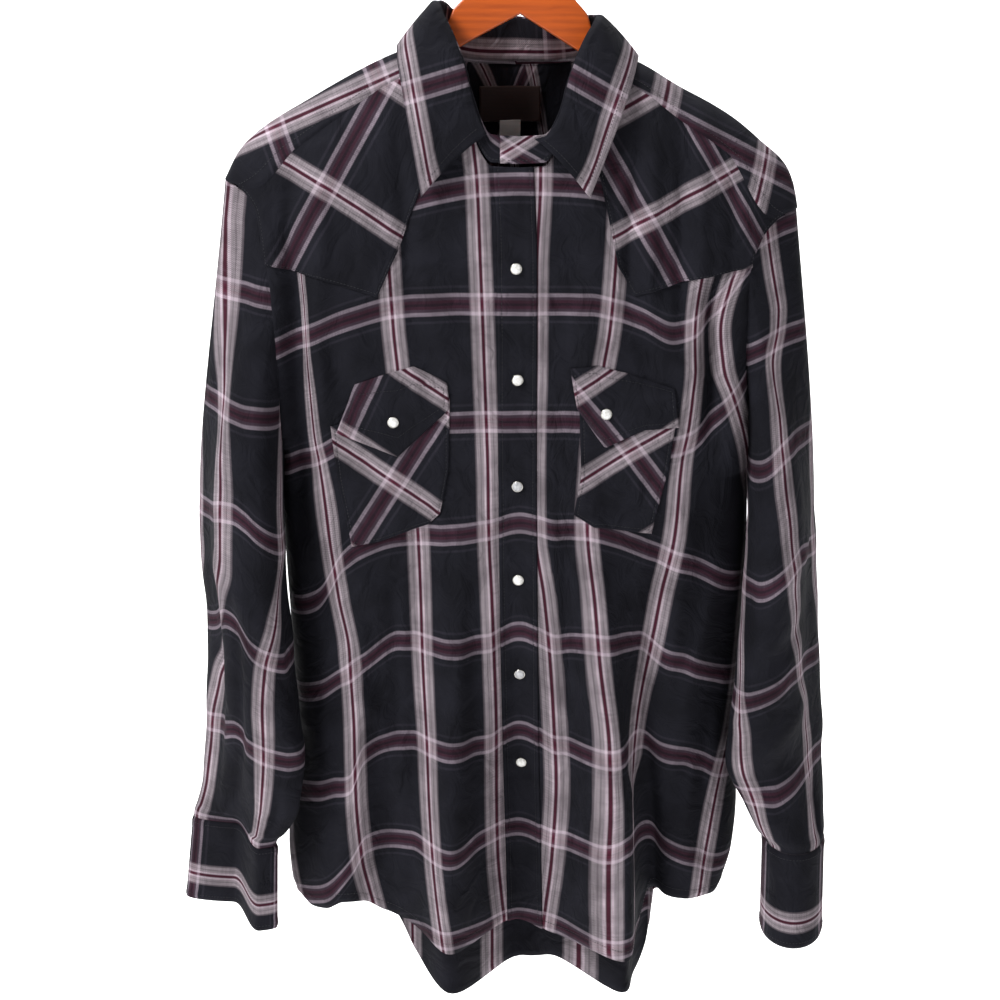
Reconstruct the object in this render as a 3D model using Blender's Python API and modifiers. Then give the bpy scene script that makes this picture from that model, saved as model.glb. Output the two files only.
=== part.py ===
"""Western snap shirt with long sleeves, hung on a wooden hanger.

Frame: metres, +Z up, the front faces -Y and the wearer's left side is +X. The origin is where
the hook's crown bears on a rail. Every cloth piece is a thin wall made from one description of
the hanging shirt: a shoulder line over the hanger, a depth in front of and behind it, the side
and armhole lines, and a table of the folds.
"""

import math

import bmesh
import bpy
from mathutils import Vector

# ---------------------------------------------------------------- driving dimensions
WALL = 0.0012             # one layer of cloth
STIFF_WALL = 0.0020       # collar and cuffs, two layers with an interlining
GAP = 0.0009              # air between a panel and what lies on it
LAP = 0.0010              # air between two panels at a seam
SEAM_STEP = 0.0015        # each panel's way back from the plane of the side seam
LIFT = WALL + GAP         # how far the outer face of an overlay stands off its panel

FRONT, BACK = -1, 1       # which way a face looks along Y
RIGHT, LEFT = -1, 1       # the wearer's sides: right is -X

RIDGE_ROUND = 0.010       # drop over which the cloth turns over the hanger
RIDGE_HALF = 0.011        # half the thickness of the turned cloth over an arm
DEPTH_LENGTH = 0.050      # drop in which the cloth leaves the hanger for its own depth

NECK_X = -0.0065          # middle of the neck opening
NECK_HALF = 0.0745        # half its width
NECK_HALF_DEPTH = 0.045   # how far the collar pushes the ridge apart at the neck
NECK_SPREAD = 0.052
NECK_FRONT_Z = -0.253     # neckline at centre front and centre back
NECK_BACK_Z = -0.167
# How far the neckline has come down from its sides: distance from the middle over half the
# width, share in front, share at the back
NECKLINE = ((0.00, 1.00, 1.00), (0.30, 0.99, 0.99), (0.45, 0.86, 0.97), (0.62, 0.53, 0.90),
            (0.80, 0.24, 0.68), (1.00, 0.00, 0.00))

FRONT_EDGE_DROP = 0.0090   # how far below the tip the forward seam meets the armhole
CENTRE_HALF = 0.206       # half width that the columns by the placket are measured in
UNDERLAP = 0.0021         # how far the right front edge passes behind the placket
PLACKET_HALF = 0.085      # half the placket's width, in shares of a front's
COLUMN_BLEND = 0.12       # over what share the columns turn from true widths to the side's line
HELD_FROM = 0.90          # share of a panel's width from which its end rows follow the side
EDGE_ROUND = 6            # power of the curve by which a panel turns in at its side
FOLD_SHARP = 1.6          # how steep a fold's flanks are
FOLD_GROWTH = 0.25        # how much a fold still grows below its full height
ARMHOLE_HOLD = 0.80       # share of the depth that an armhole holds, and where it lets go
ARMHOLE_LET_GO = 0.45
LEAST_FACING = 0.15       # a panel's normals keep at least this much of the way it looks
NORMAL_STEP = 0.002       # way on either side over which a normal is measured

UNDERARM_Z = {RIGHT: -0.510, LEFT: -0.530}
SIDE_HEM_Z = {RIGHT: -0.957, LEFT: -0.955}

# Shoulder line from the right tip to the left one: x, z
SHOULDER = (
    (-0.2670, -0.2660), (-0.2505, -0.2400), (-0.2300, -0.2220), (-0.2000, -0.2040),
    (-0.1150, -0.1600), (-0.0795, -0.1485), (-0.0065, -0.1460), (0.0665, -0.1545),
    (0.1010, -0.1680), (0.1340, -0.1870), (0.1650, -0.2030), (0.1860, -0.2160),
    (0.2100, -0.2355), (0.2290, -0.2520), (0.2385, -0.2690), (0.2435, -0.2900),
)
# Outer line of the front and back panels down the armhole and the side: z, x
EDGE = {
    (FRONT, RIGHT): (
        (-0.2660, -0.2670), (-0.2750, -0.2470), (-0.2920, -0.2360), (-0.3360, -0.2290),
        (-0.3690, -0.2250), (-0.4400, -0.2240), (-0.5100, -0.2250), (-0.5600, -0.2290),
        (-0.6200, -0.2285),
        (-0.7000, -0.2260), (-0.8000, -0.2240), (-0.8600, -0.2300), (-0.9100, -0.2325),
        (-0.9400, -0.2300), (-0.9570, -0.2255),
    ),
    (BACK, RIGHT): (
        (-0.2660, -0.2670), (-0.3000, -0.2540), (-0.4000, -0.2380), (-0.5100, -0.2250),
        (-0.5600, -0.2290), (-0.6200, -0.2285), (-0.7000, -0.2260), (-0.8000, -0.2240),
        (-0.8600, -0.2300), (-0.9100, -0.2325), (-0.9400, -0.2300), (-0.9570, -0.2255),
    ),
    (FRONT, LEFT): (
        (-0.2900, 0.2435), (-0.2980, 0.2230), (-0.3160, 0.2080), (-0.3400, 0.2000),
        (-0.4000, 0.2000), (-0.4600, 0.2055), (-0.5300, 0.2105), (-0.5700, 0.2130),
        (-0.6200, 0.2155), (-0.7000, 0.2140), (-0.8000, 0.2130), (-0.8660, 0.2140), (-0.9150, 0.2090),
        (-0.9550, 0.1960),
    ),
    (BACK, LEFT): (
        (-0.2900, 0.2435), (-0.3200, 0.2340), (-0.4200, 0.2220), (-0.5300, 0.2105),
        (-0.5700, 0.2130), (-0.6200, 0.2155), (-0.7000, 0.2140), (-0.8000, 0.2130),
        (-0.8660, 0.2140), (-0.9150, 0.2090), (-0.9550, 0.1960),
    ),
}
# Middle of the placket: z, x
CENTRE = ((-1.060, 0.004), (-0.975, 0.003), (-0.740, -0.003), (-0.550, -0.006),
          (-0.370, -0.007), (-0.250, -0.012), (-0.140, -0.012))
# Distance of the cloth from the hanger's plane where no fold moves it: z, y
DEPTH = {
    FRONT: ((-1.060, 0.055), (-0.800, 0.055), (-0.600, 0.058), (-0.400, 0.057),
            (-0.250, 0.055), (-0.140, 0.052)),
    BACK: ((-1.060, -0.008), (-0.950, 0.004), (-0.800, 0.028), (-0.600, 0.048),
           (-0.300, 0.058), (-0.140, 0.062)),
}
# Side seam: z, y
SIDE_Y = ((-0.960, -0.012), (-0.905, 0.005), (-0.830, 0.029), (-0.740, 0.035), (-0.620, 0.031),
          (-0.560, 0.016), (-0.500, 0.0))
# Hems by x: the front hem, and the longer tail at the back
HEM = {
    FRONT: ((-0.225, -0.957), (-0.207, -0.964), (-0.192, -0.960), (-0.174, -0.950),
            (-0.155, -0.953), (-0.135, -0.968), (-0.110, -0.977), (-0.067, -0.989),
            (-0.030, -0.980), (0.005, -0.974), (0.045, -0.982), (0.084, -0.988),
            (0.103, -0.972), (0.114, -0.944), (0.150, -0.947), (0.194, -0.955)),
    BACK: ((-0.225, -0.957), (-0.150, -0.972), (-0.126, -1.000), (-0.108, -1.032),
           (-0.088, -1.051), (-0.060, -1.060), (-0.022, -1.063), (0.006, -1.058),
           (0.036, -1.043), (0.055, -1.052), (0.076, -1.060), (0.104, -1.054),
           (0.118, -1.026), (0.126, -0.976), (0.150, -0.960), (0.194, -0.955)),
}
# Folds that both faces share: name, x where it starts, x at the hem, z where it starts,
# half width, push toward the viewer at the hem, lean of the crest along X
FOLDS = (
    ("placket trough", -0.008, -0.004, -0.560, 0.036, -0.034, 0.000),
    ("right pipe", -0.050, -0.067, -0.480, 0.034, 0.037, -0.004),
    ("right trough", -0.118, -0.131, -0.600, 0.030, -0.010, 0.000),
    ("right side pipe", -0.160, -0.180, -0.470, 0.030, 0.018, 0.000),
    ("left pipe", 0.056, 0.076, -0.450, 0.032, 0.050, 0.021),
    ("left trough", 0.100, 0.118, -0.620, 0.018, -0.016, 0.008),
    ("left side pipe", 0.140, 0.158, -0.500, 0.036, 0.012, 0.000),
)
FOLD_FULL_Z = -0.960      # height at which a fold has its whole depth

# Collar: the height of the stand by the angle from centre back, in degrees, and how far its
# top leans into the neck: angle, height on the right, height on the left, lean
STAND = ((0, 0.036, 0.036, 0.006), (60, 0.034, 0.028, 0.0055), (90, 0.029, 0.0225, 0.0050),
         (140, 0.028, 0.025, 0.003), (160, 0.0220, 0.0220, 0.001), (180, 0.0215, 0.0215, 0.000))
STAND_LAP_ANGLE = 12.0    # the left end laps over the right one by this much each side
STAND_LAP_FROM, STAND_LAP_OVER = 135.0, 30.0   # angles in which it comes forward for that
# Fall edge from centre back to the point: share of the way, x, y, z
FALL_EDGE = {
    RIGHT: ((0.00, -0.0065, 0.078, -0.178), (0.25, -0.068, 0.064, -0.170),
            (0.47, -0.1125, 0.004, -0.1505), (0.55, -0.1110, -0.025, -0.1620),
            (0.64, -0.1060, -0.044, -0.188),
            (0.80, -0.0985, -0.057, -0.230), (1.00, -0.0898, -0.067, -0.2770)),
    LEFT: ((0.00, -0.0065, 0.078, -0.178), (0.25, 0.056, 0.064, -0.175),
           (0.47, 0.1000, 0.004, -0.1595), (0.55, 0.0960, -0.022, -0.1710),
           (0.64, 0.0880, -0.045, -0.194),
           (0.80, 0.0735, -0.058, -0.233), (1.00, 0.0552, -0.067, -0.2785)),
}
FALL_END_ANGLE = {RIGHT: 159.0, LEFT: 169.0}
# How far the fall's roll lies outside the stand and above it, along the neck and at its ends
FALL_OUT = 0.0025
FALL_RISE = 0.0042
FALL_END_OUT = 0.0040
FALL_END_RISE = -0.0025
# How high the roll's bend stands between roll and edge: behind, in front, and more at the ends
FALL_BEND_BACK, FALL_BEND_FRONT, FALL_BEND_END = 0.36, 0.16, 0.20
FALL_BEND_FROM, FALL_BEND_OVER = 0.5, 0.2

# Sleeve sections below the armhole: z, middle x, middle y, long half, short half, turn, and how
# far the inner half has stepped forward of the outer one
SLEEVE = {
    RIGHT: ((-0.560, -0.2650, -0.010, 0.083, 0.035, 67.0, 0.000),
            (-0.610, -0.2655, -0.012, 0.080, 0.037, 66.0, 0.000),
            (-0.700, -0.2605, -0.015, 0.075, 0.035, 59.0, 0.004),
            (-0.790, -0.2605, -0.020, 0.068, 0.032, 44.0, 0.014),
            (-0.850, -0.2660, -0.025, 0.059, 0.026, 30.0, 0.032),
            (-0.892, -0.2820, -0.024, 0.0455, 0.018, 9.0, 0.054)),
    LEFT: ((-0.570, 0.2425, -0.010, 0.082, 0.030, 74.0, 0.000),
           (-0.610, 0.2430, -0.012, 0.080, 0.032, 71.0, 0.000),
           (-0.700, 0.2435, -0.015, 0.075, 0.033, 62.0, 0.000),
           (-0.770, 0.2445, -0.018, 0.071, 0.033, 53.0, 0.000),
           (-0.805, 0.2445, -0.020, 0.068, 0.033, 47.0, 0.000),
           (-0.850, 0.2545, -0.024, 0.061, 0.033, 58.0, 0.000),
           (-0.892, 0.2640, -0.030, 0.051, 0.032, 78.0, 0.000)),
}
CUFF = {
    RIGHT: ((-0.893, -0.2825, -0.024, 0.0470, 0.0145, 6.0, 0.055),
            (-0.977, -0.2885, -0.030, 0.0505, 0.0125, 3.0, 0.058)),
    LEFT: ((-0.893, 0.2645, -0.030, 0.0480, 0.0300, 80.0, 0.000),
           (-0.987, 0.2650, -0.038, 0.0480, 0.0305, 80.0, 0.000)),
}
STEP_FROM, STEP_SHARE = 0.50, 0.34   # where across a section its inner half steps forward
FOLD_END = 0.7            # power by which a sleeve's fold fades at its ends
# How the cap leaves the armhole: outward under the arm and at the top, and down; how it arrives
CAP_OUT_LOW, CAP_OUT_TOP, CAP_DOWN, CAP_IN_TOP = 0.45, 0.12, 0.95, 0.05
CAP_LEAVE, CAP_ARRIVE = 0.36, 0.34   # shares of the way that the two directions hold
ARMHOLE_OFF, ARMHOLE_OFF_TOP = 1.2, 2.8   # laps between the body and the sleeve's edge
CUFF_LAP = 30.0           # degrees of the overlap, at the back of the wrist
CUFF_LAP_START = 285.0
CUFF_STEP_FROM, CUFF_STEP_OVER = 325.0, 30.0   # angles in which the lap comes outward
# The strip over the sleeve's slit: angle from the lap's start, width, foot, length, more lift
SLIT_TURN, SLIT_WIDTH, SLIT_FOOT, SLIT_LENGTH, SLIT_LIFT = 18.0, 24.0, 0.004, 0.12, 0.0006

# Pieces that lie on the fronts. Each edge is a line of points x, z: the top and the bottom run
# from the inner end to the outer one, the inner and outer edges run down.
POCKETS = {
    RIGHT: {"top": ((-0.0665, -0.4530), (-0.1200, -0.4680), (-0.1740, -0.4800)),
            "inner": ((-0.0665, -0.4530), (-0.0680, -0.5200), (-0.0760, -0.5600)),
            "outer": ((-0.1740, -0.4800), (-0.1690, -0.5300), (-0.1574, -0.5927)),
            "bottom": ((-0.0760, -0.5600), (-0.0860, -0.5705), (-0.1317, -0.5879),
                       (-0.1574, -0.5927))},
    LEFT: {"top": ((0.0490, -0.4660), (0.0950, -0.4660), (0.1370, -0.4640)),
           "inner": ((0.0490, -0.4660), (0.0500, -0.5250), (0.0430, -0.5610)),
           "outer": ((0.1370, -0.4640), (0.1300, -0.5200), (0.1158, -0.5803)),
           "bottom": ((0.0430, -0.5610), (0.0600, -0.5718), (0.1158, -0.5803))},
}
FLAPS = {
    RIGHT: {"top": ((-0.0690, -0.4400), (-0.0992, -0.4260), (-0.1305, -0.4350),
                    (-0.1511, -0.4422)),
            "inner": ((-0.0690, -0.4400), (-0.0670, -0.4640)),
            "outer": ((-0.1511, -0.4422), (-0.1692, -0.4869)),
            "bottom": ((-0.0670, -0.4640), (-0.1139, -0.5081), (-0.1692, -0.4869))},
    LEFT: {"top": ((0.0402, -0.4278), (0.0632, -0.4251), (0.0918, -0.4323), (0.1339, -0.4458)),
           "inner": ((0.0402, -0.4278), (0.0468, -0.4640)),
           "outer": ((0.1339, -0.4458), (0.1385, -0.4814)),
           "bottom": ((0.0468, -0.4640), (0.0716, -0.4998), (0.1081, -0.4832),
                      (0.1385, -0.4814))},
}
# Pointed yokes on the fronts: the inner edge down from the neck, and the lower edge outward
FRONT_YOKES = {
    RIGHT: {"inner": ((-0.0600, -0.1960), (-0.0930, -0.2780), (-0.1120, -0.3260),
                      (-0.1300, -0.3650)),
            "bottom": ((-0.1300, -0.3650), (-0.1810, -0.3490), (-0.2287, -0.3380))},
    LEFT: {"inner": ((0.0470, -0.1960), (0.0740, -0.3040), (0.0810, -0.3380),
                     (0.0970, -0.3645)),
           "bottom": ((0.0970, -0.3645), (0.1380, -0.3520), (0.2000, -0.3400))},
}
SNAP_HEIGHTS = (-0.3392, -0.4377, -0.5351, -0.6244, -0.7205, -0.8160)
FLAP_SNAPS = {RIGHT: (-0.1175, -0.4757), LEFT: (0.0725, -0.4684)}
# Folds of the sleeves: name, angle round the sleeve, half width in degrees, push out, z from, to
SLEEVE_FOLDS = {
    RIGHT: (("outer trough", 18, 24, -0.012, -0.520, -0.880),
            ("front ridge", 75, 30, 0.006, -0.480, -0.860),
            ("elbow hollow", 150, 26, -0.007, -0.600, -0.780),
            ("back trough", 262, 30, -0.009, -0.500, -0.880)),
    LEFT: (("outer trough", 24, 22, -0.007, -0.540, -0.860),
           ("front ridge", 80, 28, 0.006, -0.440, -0.840),
           ("elbow hollow", 140, 26, -0.008, -0.580, -0.760),
           ("back trough", 268, 30, -0.009, -0.520, -0.880)),
}
# The label and the small tab inside the back of the neck: low z, high z, half width, lift
LABEL = {"neck_label": (-0.2180, -0.1860, 0.0285, -0.0030),
         "size_tab": (-0.2310, -0.2165, 0.0100, -0.0048)}
LABEL_WALL = 0.0008
LABEL_X = -0.0130
# Drop of the forward seam below the shoulder line by the distance from the middle, and the share
# of its length from which it bends to the armhole
YOKE_SEAM_DROP = ((0.060, 0.020), (0.110, 0.024), (0.170, 0.032), (0.215, 0.038))
SEAM_BENDS = 0.80

HANGER_TILT = 2.0         # degrees, the wearer's left end lower
HANGER_THICK = 0.012
HANGER_EDGE = 0.0035
# Right half of the hanger's outline in its own frame: x, z
HANGER_TOP = ((0.000, -0.080), (0.018, -0.083), (0.034, -0.0965), (0.0480, -0.1125),
              (0.0622, -0.1295), (0.0640, -0.142), (0.0690, -0.1575), (0.084, -0.1665),
              (0.108, -0.1765), (0.140, -0.1915), (0.170, -0.2075), (0.190, -0.2200),
              (0.205, -0.2305))
HANGER_TIP = ((0.212, -0.236), (0.213, -0.243), (0.209, -0.247))
HANGER_UNDER = ((0.190, -0.236), (0.150, -0.2130), (0.108, -0.1900), (0.056, -0.157),
                (0.000, -0.125))
HOOK_WIRE = 0.0040
HOOK_RADIUS = 0.0220
HOOK_FOOT_Z = -0.084
HOOK_FOOT_HALF = 0.012    # the straight foot reaches this far up and down
HOOK_BEND = ((0.0, -0.0600), (-0.0020, -0.0530), (-0.0075, -0.0450), (-0.0145, -0.0380))
BORE_AIR = 0.0004         # air round the foot
BORE_LENGTH = 0.030
BORE_DROP = 0.008         # the bore's middle below the foot's

SNAP_RADIUS = 0.0052
SNAP_HEIGHT = 0.0024
SNAP_GAP = 0.0017
SNAP_TOP = 0.78           # its upper face's share of the radius
CUFF_SNAP_DROPS = (0.022, 0.062)


# ---------------------------------------------------------------- interpolation
def smooth(t):
    """Ease from 0 to 1."""
    t = min(max(t, 0.0), 1.0)
    return t * t * (3.0 - 2.0 * t)


def read(table, at, column=1):
    """Value of a column at `at`, a smooth line through the rows that never overshoots."""
    rows = sorted(table)
    xs = [row[0] for row in rows]
    ys = [row[column] for row in rows]
    if at <= xs[0]:
        return ys[0]
    if at >= xs[-1]:
        return ys[-1]
    slopes = [(ys[i + 1] - ys[i]) / (xs[i + 1] - xs[i]) for i in range(len(xs) - 1)]
    tangents = [slopes[0]]
    for before, after in zip(slopes, slopes[1:]):
        same_way = before * after > 0
        tangents.append(2.0 * before * after / (before + after) if same_way else 0.0)
    tangents.append(slopes[-1])
    i = next(k for k in range(len(xs) - 1) if at <= xs[k + 1])
    width = xs[i + 1] - xs[i]
    t = (at - xs[i]) / width
    return ((2 * t ** 3 - 3 * t ** 2 + 1) * ys[i] + (t ** 3 - 2 * t ** 2 + t) * width * tangents[i]
            + (-2 * t ** 3 + 3 * t ** 2) * ys[i + 1] + (t ** 3 - t ** 2) * width * tangents[i + 1])


def mix(a, b, t):
    return a + (b - a) * t


# ---------------------------------------------------------------- the hanging body of the shirt
def ridge_drop(along):
    """Drop below the shoulder line after `along` metres over the ridge."""
    along = abs(along)
    quarter = RIDGE_ROUND * math.pi / 2
    if along < quarter:
        return RIDGE_ROUND * (1 - math.cos(along / RIDGE_ROUND))
    return RIDGE_ROUND + along - quarter


def ridge_along(drop):
    """The way over the ridge that gives a drop: the inverse of ridge_drop."""
    if drop < RIDGE_ROUND:
        return RIDGE_ROUND * math.acos(1 - max(drop, 0.0) / RIDGE_ROUND)
    return RIDGE_ROUND * math.pi / 2 + drop - RIDGE_ROUND


def side_of(x, z):
    return LEFT if x > read(CENTRE, z) else RIGHT


def armhole_share(z, side):
    """How far the armhole holds the panel's edge away from the side seam: 0 below the arm."""
    top = read(SHOULDER, EDGE[(FRONT, side)][0][1])
    middle = mix(top, UNDERARM_Z[side], ARMHOLE_LET_GO)
    if z >= middle:
        return ARMHOLE_HOLD
    rest = (middle - z) / (middle - UNDERARM_Z[side])
    return ARMHOLE_HOLD * math.sqrt(max(0.0, 1.0 - rest * rest))


def fold_push(x, z):
    """Push toward the viewer, and the lean of the crest, of all folds at a place."""
    push = lean = 0.0
    for _name, x_top, x_low, z_top, half, depth, tilt in FOLDS:
        grown = (z_top - z) / (z_top - FOLD_FULL_Z)
        if grown <= 0:
            continue
        grown = smooth(min(grown, 1.0)) * (1.0 + FOLD_GROWTH * max(0.0, grown - 1.0))
        middle = mix(x_top, x_low, min(grown, 1.0))
        shape = math.exp(-((x - middle) / half) ** 2 * FOLD_SHARP)
        push += depth * grown * shape
        lean += tilt * grown * shape
    return push, lean


def body_y(face, x, z):
    """Y of the outer face of a panel."""
    side = side_of(x, z)
    drop = read(SHOULDER, x) - z
    middle = read(CENTRE, z)
    reach = min(abs(x - middle) / abs(read(EDGE[(face, side)], z) - middle), 1.0)
    neck = math.exp(-((x - NECK_X) / NECK_SPREAD) ** 2)
    start = RIDGE_HALF + NECK_HALF_DEPTH * neck
    push, _lean = fold_push(x, z)
    deep = read(DEPTH[face], z) - face * push
    out = start + (deep - start) * (1 - math.exp(-max(drop, 0.0) / DEPTH_LENGTH))
    held = armhole_share(z, side)
    round_off = held + (1 - held) * math.sqrt(max(0.0, 1 - reach ** EDGE_ROUND))
    turned = math.sin(min(ridge_along(drop) / RIDGE_ROUND, math.pi / 2)) if drop > 0 else 0.0
    seam = read(SIDE_Y, z) + face * SEAM_STEP
    return seam + (face * out * turned - seam) * round_off


def body_point(face, x, z, lift=0.0):
    """A point on a panel, moved out by `lift` along the panel's own normal."""
    _push, lean = fold_push(x, z)
    point = Vector((x + lean, body_y(face, x, z), z))
    if not lift:
        return point
    step = NORMAL_STEP
    left = Vector((x - step + fold_push(x - step, z)[1], body_y(face, x - step, z), z))
    right = Vector((x + step + fold_push(x + step, z)[1], body_y(face, x + step, z), z))
    low = Vector((x + fold_push(x, z - step)[1], body_y(face, x, z - step), z - step))
    normal = (right - left).cross(point - low).normalized() * -face
    if normal.y * face < LEAST_FACING:
        normal = Vector((normal.x, LEAST_FACING * face, normal.z)).normalized()
    return point + normal * lift


def neckline_z(face, x):
    away = min(abs(x - NECK_X) / NECK_HALF, 1.0)
    low = NECK_FRONT_Z if face == FRONT else NECK_BACK_Z
    share = read(NECKLINE, away, 1 if face == FRONT else 2)
    return mix(read(SHOULDER, x), low, share)


def seam_meets_armhole(side):
    return EDGE[(FRONT, side)][0][0] - FRONT_EDGE_DROP


def forward_seam_z(x):
    """The shoulder seam, a little in front of the shoulder line, down to the armhole."""
    side = LEFT if x > NECK_X else RIGHT
    z_end = seam_meets_armhole(side)
    reach = abs(read(EDGE[(FRONT, side)], z_end) - NECK_X)
    away = abs(x - NECK_X)
    seam = read(SHOULDER, x) - read(YOKE_SEAM_DROP, away)
    return mix(seam, z_end, smooth((away / reach - SEAM_BENDS) / (1 - SEAM_BENDS)))


def front_top_z(x):
    """Upper edge of a front: the neckline, then the forward shoulder seam."""
    if abs(x - NECK_X) < NECK_HALF:
        return min(forward_seam_z(x), neckline_z(FRONT, x))
    return forward_seam_z(x)


def panel_place(face, side, top_of, z_top, z_hem):
    """Where column q (0 centre, 1 edge) and row r (0 top, 1 hem) of a panel are: x, z."""
    def across(q, z):
        middle = read(CENTRE, z)
        half = side * mix(CENTRE_HALF, abs(read(EDGE[(face, side)], z) - middle),
                          smooth((abs(q) - PLACKET_HALF) / COLUMN_BLEND))
        return middle + q * half

    def place(q, r):
        x = across(q, mix(z_top, z_hem, r))
        held = smooth((q - HELD_FROM) / (1 - HELD_FROM))
        start = mix(top_of(across(q, z_top)), z_top, held if face == BACK else 0.0)
        end = mix(read(HEM[face], across(q, z_hem)), z_hem, held)
        return x, mix(start, end, r)
    return place


# ---------------------------------------------------------------- Blender helpers
def clear_scene():
    for item in list(bpy.data.objects):
        bpy.data.objects.remove(item, do_unlink=True)


def principled(name, colour, roughness, metallic=0.0):
    material = bpy.data.materials.new(name)
    material.use_nodes = True
    shader = material.node_tree.nodes["Principled BSDF"]
    shader.inputs["Base Color"].default_value = (*colour, 1.0)
    shader.inputs["Roughness"].default_value = roughness
    shader.inputs["Metallic"].default_value = metallic
    return material


def make_collection(name):
    collection = bpy.data.collections.new(name)
    bpy.context.scene.collection.children.link(collection)
    return collection


def add_mesh(name, bm, finish):
    mesh = bpy.data.meshes.new(name)
    bm.to_mesh(mesh)
    bm.free()
    mesh.materials.append(finish(name))
    item = bpy.data.objects.new(name, mesh)
    PARTS.objects.link(item)
    mesh.shade_smooth()
    return item


def sheet(name, columns, rows, place, finish, wall=WALL, closed=False):
    """A cloth wall: a grid whose points come from place(u, v), thickened inward.

    u runs toward +X seen from the side that the cloth faces, and v runs up.
    """
    bm = bmesh.new()
    bmesh.ops.create_grid(bm, x_segments=columns, y_segments=rows, size=0.5)
    for vert in bm.verts:
        vert.co = place(vert.co.x + 0.5, vert.co.y + 0.5)
    if closed:
        bmesh.ops.remove_doubles(bm, verts=bm.verts, dist=1e-5)
    item = add_mesh(name, bm, finish)
    thicken = item.modifiers.new("cloth", "SOLIDIFY")
    thicken.thickness = wall
    thicken.offset = -1.0
    return item


def cloth(name):
    return principled(name, (0.018, 0.018, 0.024), 0.85)


def pearl(name):
    return principled(name, (0.80, 0.79, 0.76), 0.25)


def varnished_wood(name):
    return principled(name, (0.55, 0.12, 0.01), 0.30)


def chrome(name):
    return principled(name, (0.62, 0.62, 0.64), 0.25, 1.0)


def label_cloth(name):
    return principled(name, (0.05, 0.012, 0.010), 0.80)


def tab_cloth(name):
    return principled(name, (0.70, 0.70, 0.70), 0.80)


# ---------------------------------------------------------------- body panels
CENTRE_COLUMNS = (0.0, PLACKET_HALF / 2, PLACKET_HALF)
OUTER_COLUMNS = (0.15, 0.22, 0.29, 0.36, 0.43, 0.50, 0.56, 0.61, 0.71, 0.81, 0.90, 0.96, 1.0)
BODY_ROWS = 24
ROWS_EVEN = 0.4            # share of the rows' spacing that is even down a panel
FRONT_TOP_ROWS = 0.03      # top share of a front in which it drops two laps below its yoke


def spaced(stops, u):
    """The value of a list of stops at share u of its steps."""
    at = u * (len(stops) - 1)
    i = min(int(at), len(stops) - 2)
    return mix(stops[i], stops[i + 1], at - i)


def rows_down(v):
    """Share of the way down a panel: the rows are closer where it leaves the shoulder."""
    down = 1 - v
    return ROWS_EVEN * down + (1 - ROWS_EVEN) * down * down


def front_place(side):
    return panel_place(FRONT, side, front_top_z, seam_meets_armhole(side), SIDE_HEM_Z[side])


def make_front(name, side):
    """A front from the middle of the placket to the side. The right one runs on behind it."""
    place = front_place(side)
    stops = CENTRE_COLUMNS + OUTER_COLUMNS
    if side == RIGHT:
        stops = tuple(-q for q in reversed(CENTRE_COLUMNS[1:])) + stops

    def point(u, v):
        q = spaced(stops, u if side == LEFT else 1 - u)
        x, z = place(q, rows_down(v))
        z -= 2 * LAP * smooth((v - 1 + FRONT_TOP_ROWS) / FRONT_TOP_ROWS)
        tuck = UNDERLAP * smooth((PLACKET_HALF - q) / PLACKET_HALF) if side == RIGHT else 0.0
        return body_point(FRONT, x, z) + Vector((0.0, tuck, 0.0))
    return sheet(name, len(stops) - 1, BODY_ROWS, point, cloth)


def make_placket():
    """The strip down the wearer's left front, over the right one."""
    place = front_place(LEFT)
    stops = tuple(-q for q in reversed(CENTRE_COLUMNS[1:])) + CENTRE_COLUMNS

    def point(u, v):
        x, z = place(spaced(stops, u), rows_down(v))
        return body_point(FRONT, x, z, LIFT)
    return sheet("placket", len(stops) - 1, BODY_ROWS, point, cloth)


# ---------------------------------------------------------------- back and its yoke
BACK_COLUMNS = (0.0, 0.08, 0.16, 0.24, 0.32, 0.40, 0.48, 0.55, 0.61, 0.71, 0.83, 0.94, 1.0)
# Lower edge of the back yoke by the distance from the middle: x, z
YOKE_BACK_EDGE = ((0.000, -0.345), (0.050, -0.318), (0.115, -0.352), (0.180, -0.338),
                  (0.245, -0.330))
YOKE_TUCK = 0.016          # how far the back runs up behind its yoke
SIDE_X = 0.24              # distance from the middle at which the yoke's edge meets the armhole


def yoke_edge_z(x):
    return read(YOKE_BACK_EDGE, abs(x - NECK_X))


def make_back():
    """The back below the yoke, from side to side, with the longer tail."""
    z_top = yoke_edge_z(SIDE_X) + YOKE_TUCK
    places = {side: panel_place(BACK, side, lambda x: yoke_edge_z(x) + YOKE_TUCK, z_top,
                                SIDE_HEM_Z[side]) for side in (RIGHT, LEFT)}
    stops = tuple(-q for q in reversed(BACK_COLUMNS[1:])) + BACK_COLUMNS

    def point(u, v):
        q = spaced(stops, 1 - u)
        side = LEFT if q > 0 else RIGHT
        x, z = places[side](abs(q), rows_down(v))
        return body_point(BACK, x, z)
    return sheet("back", len(stops) - 1, BODY_ROWS, point, cloth)


def over_ridge(x, along, lift=0.0):
    """A point `along` metres over the shoulder line from it, in front where negative."""
    face = FRONT if along < 0 else BACK
    z = read(SHOULDER, x) - ridge_drop(along)
    point = Vector((x, body_y(face, x, z), z))
    if not lift:
        return point
    step = NORMAL_STEP
    ahead = over_ridge(x, along + step)
    beside = over_ridge(x + step, along)
    normal = (beside - point).cross(ahead - point).normalized()
    if normal.z < 0 and abs(along) < RIDGE_ROUND:
        normal.negate()
    if abs(along) >= RIDGE_ROUND and normal.y * face < 0:
        normal.negate()
    return point + normal * lift


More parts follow.
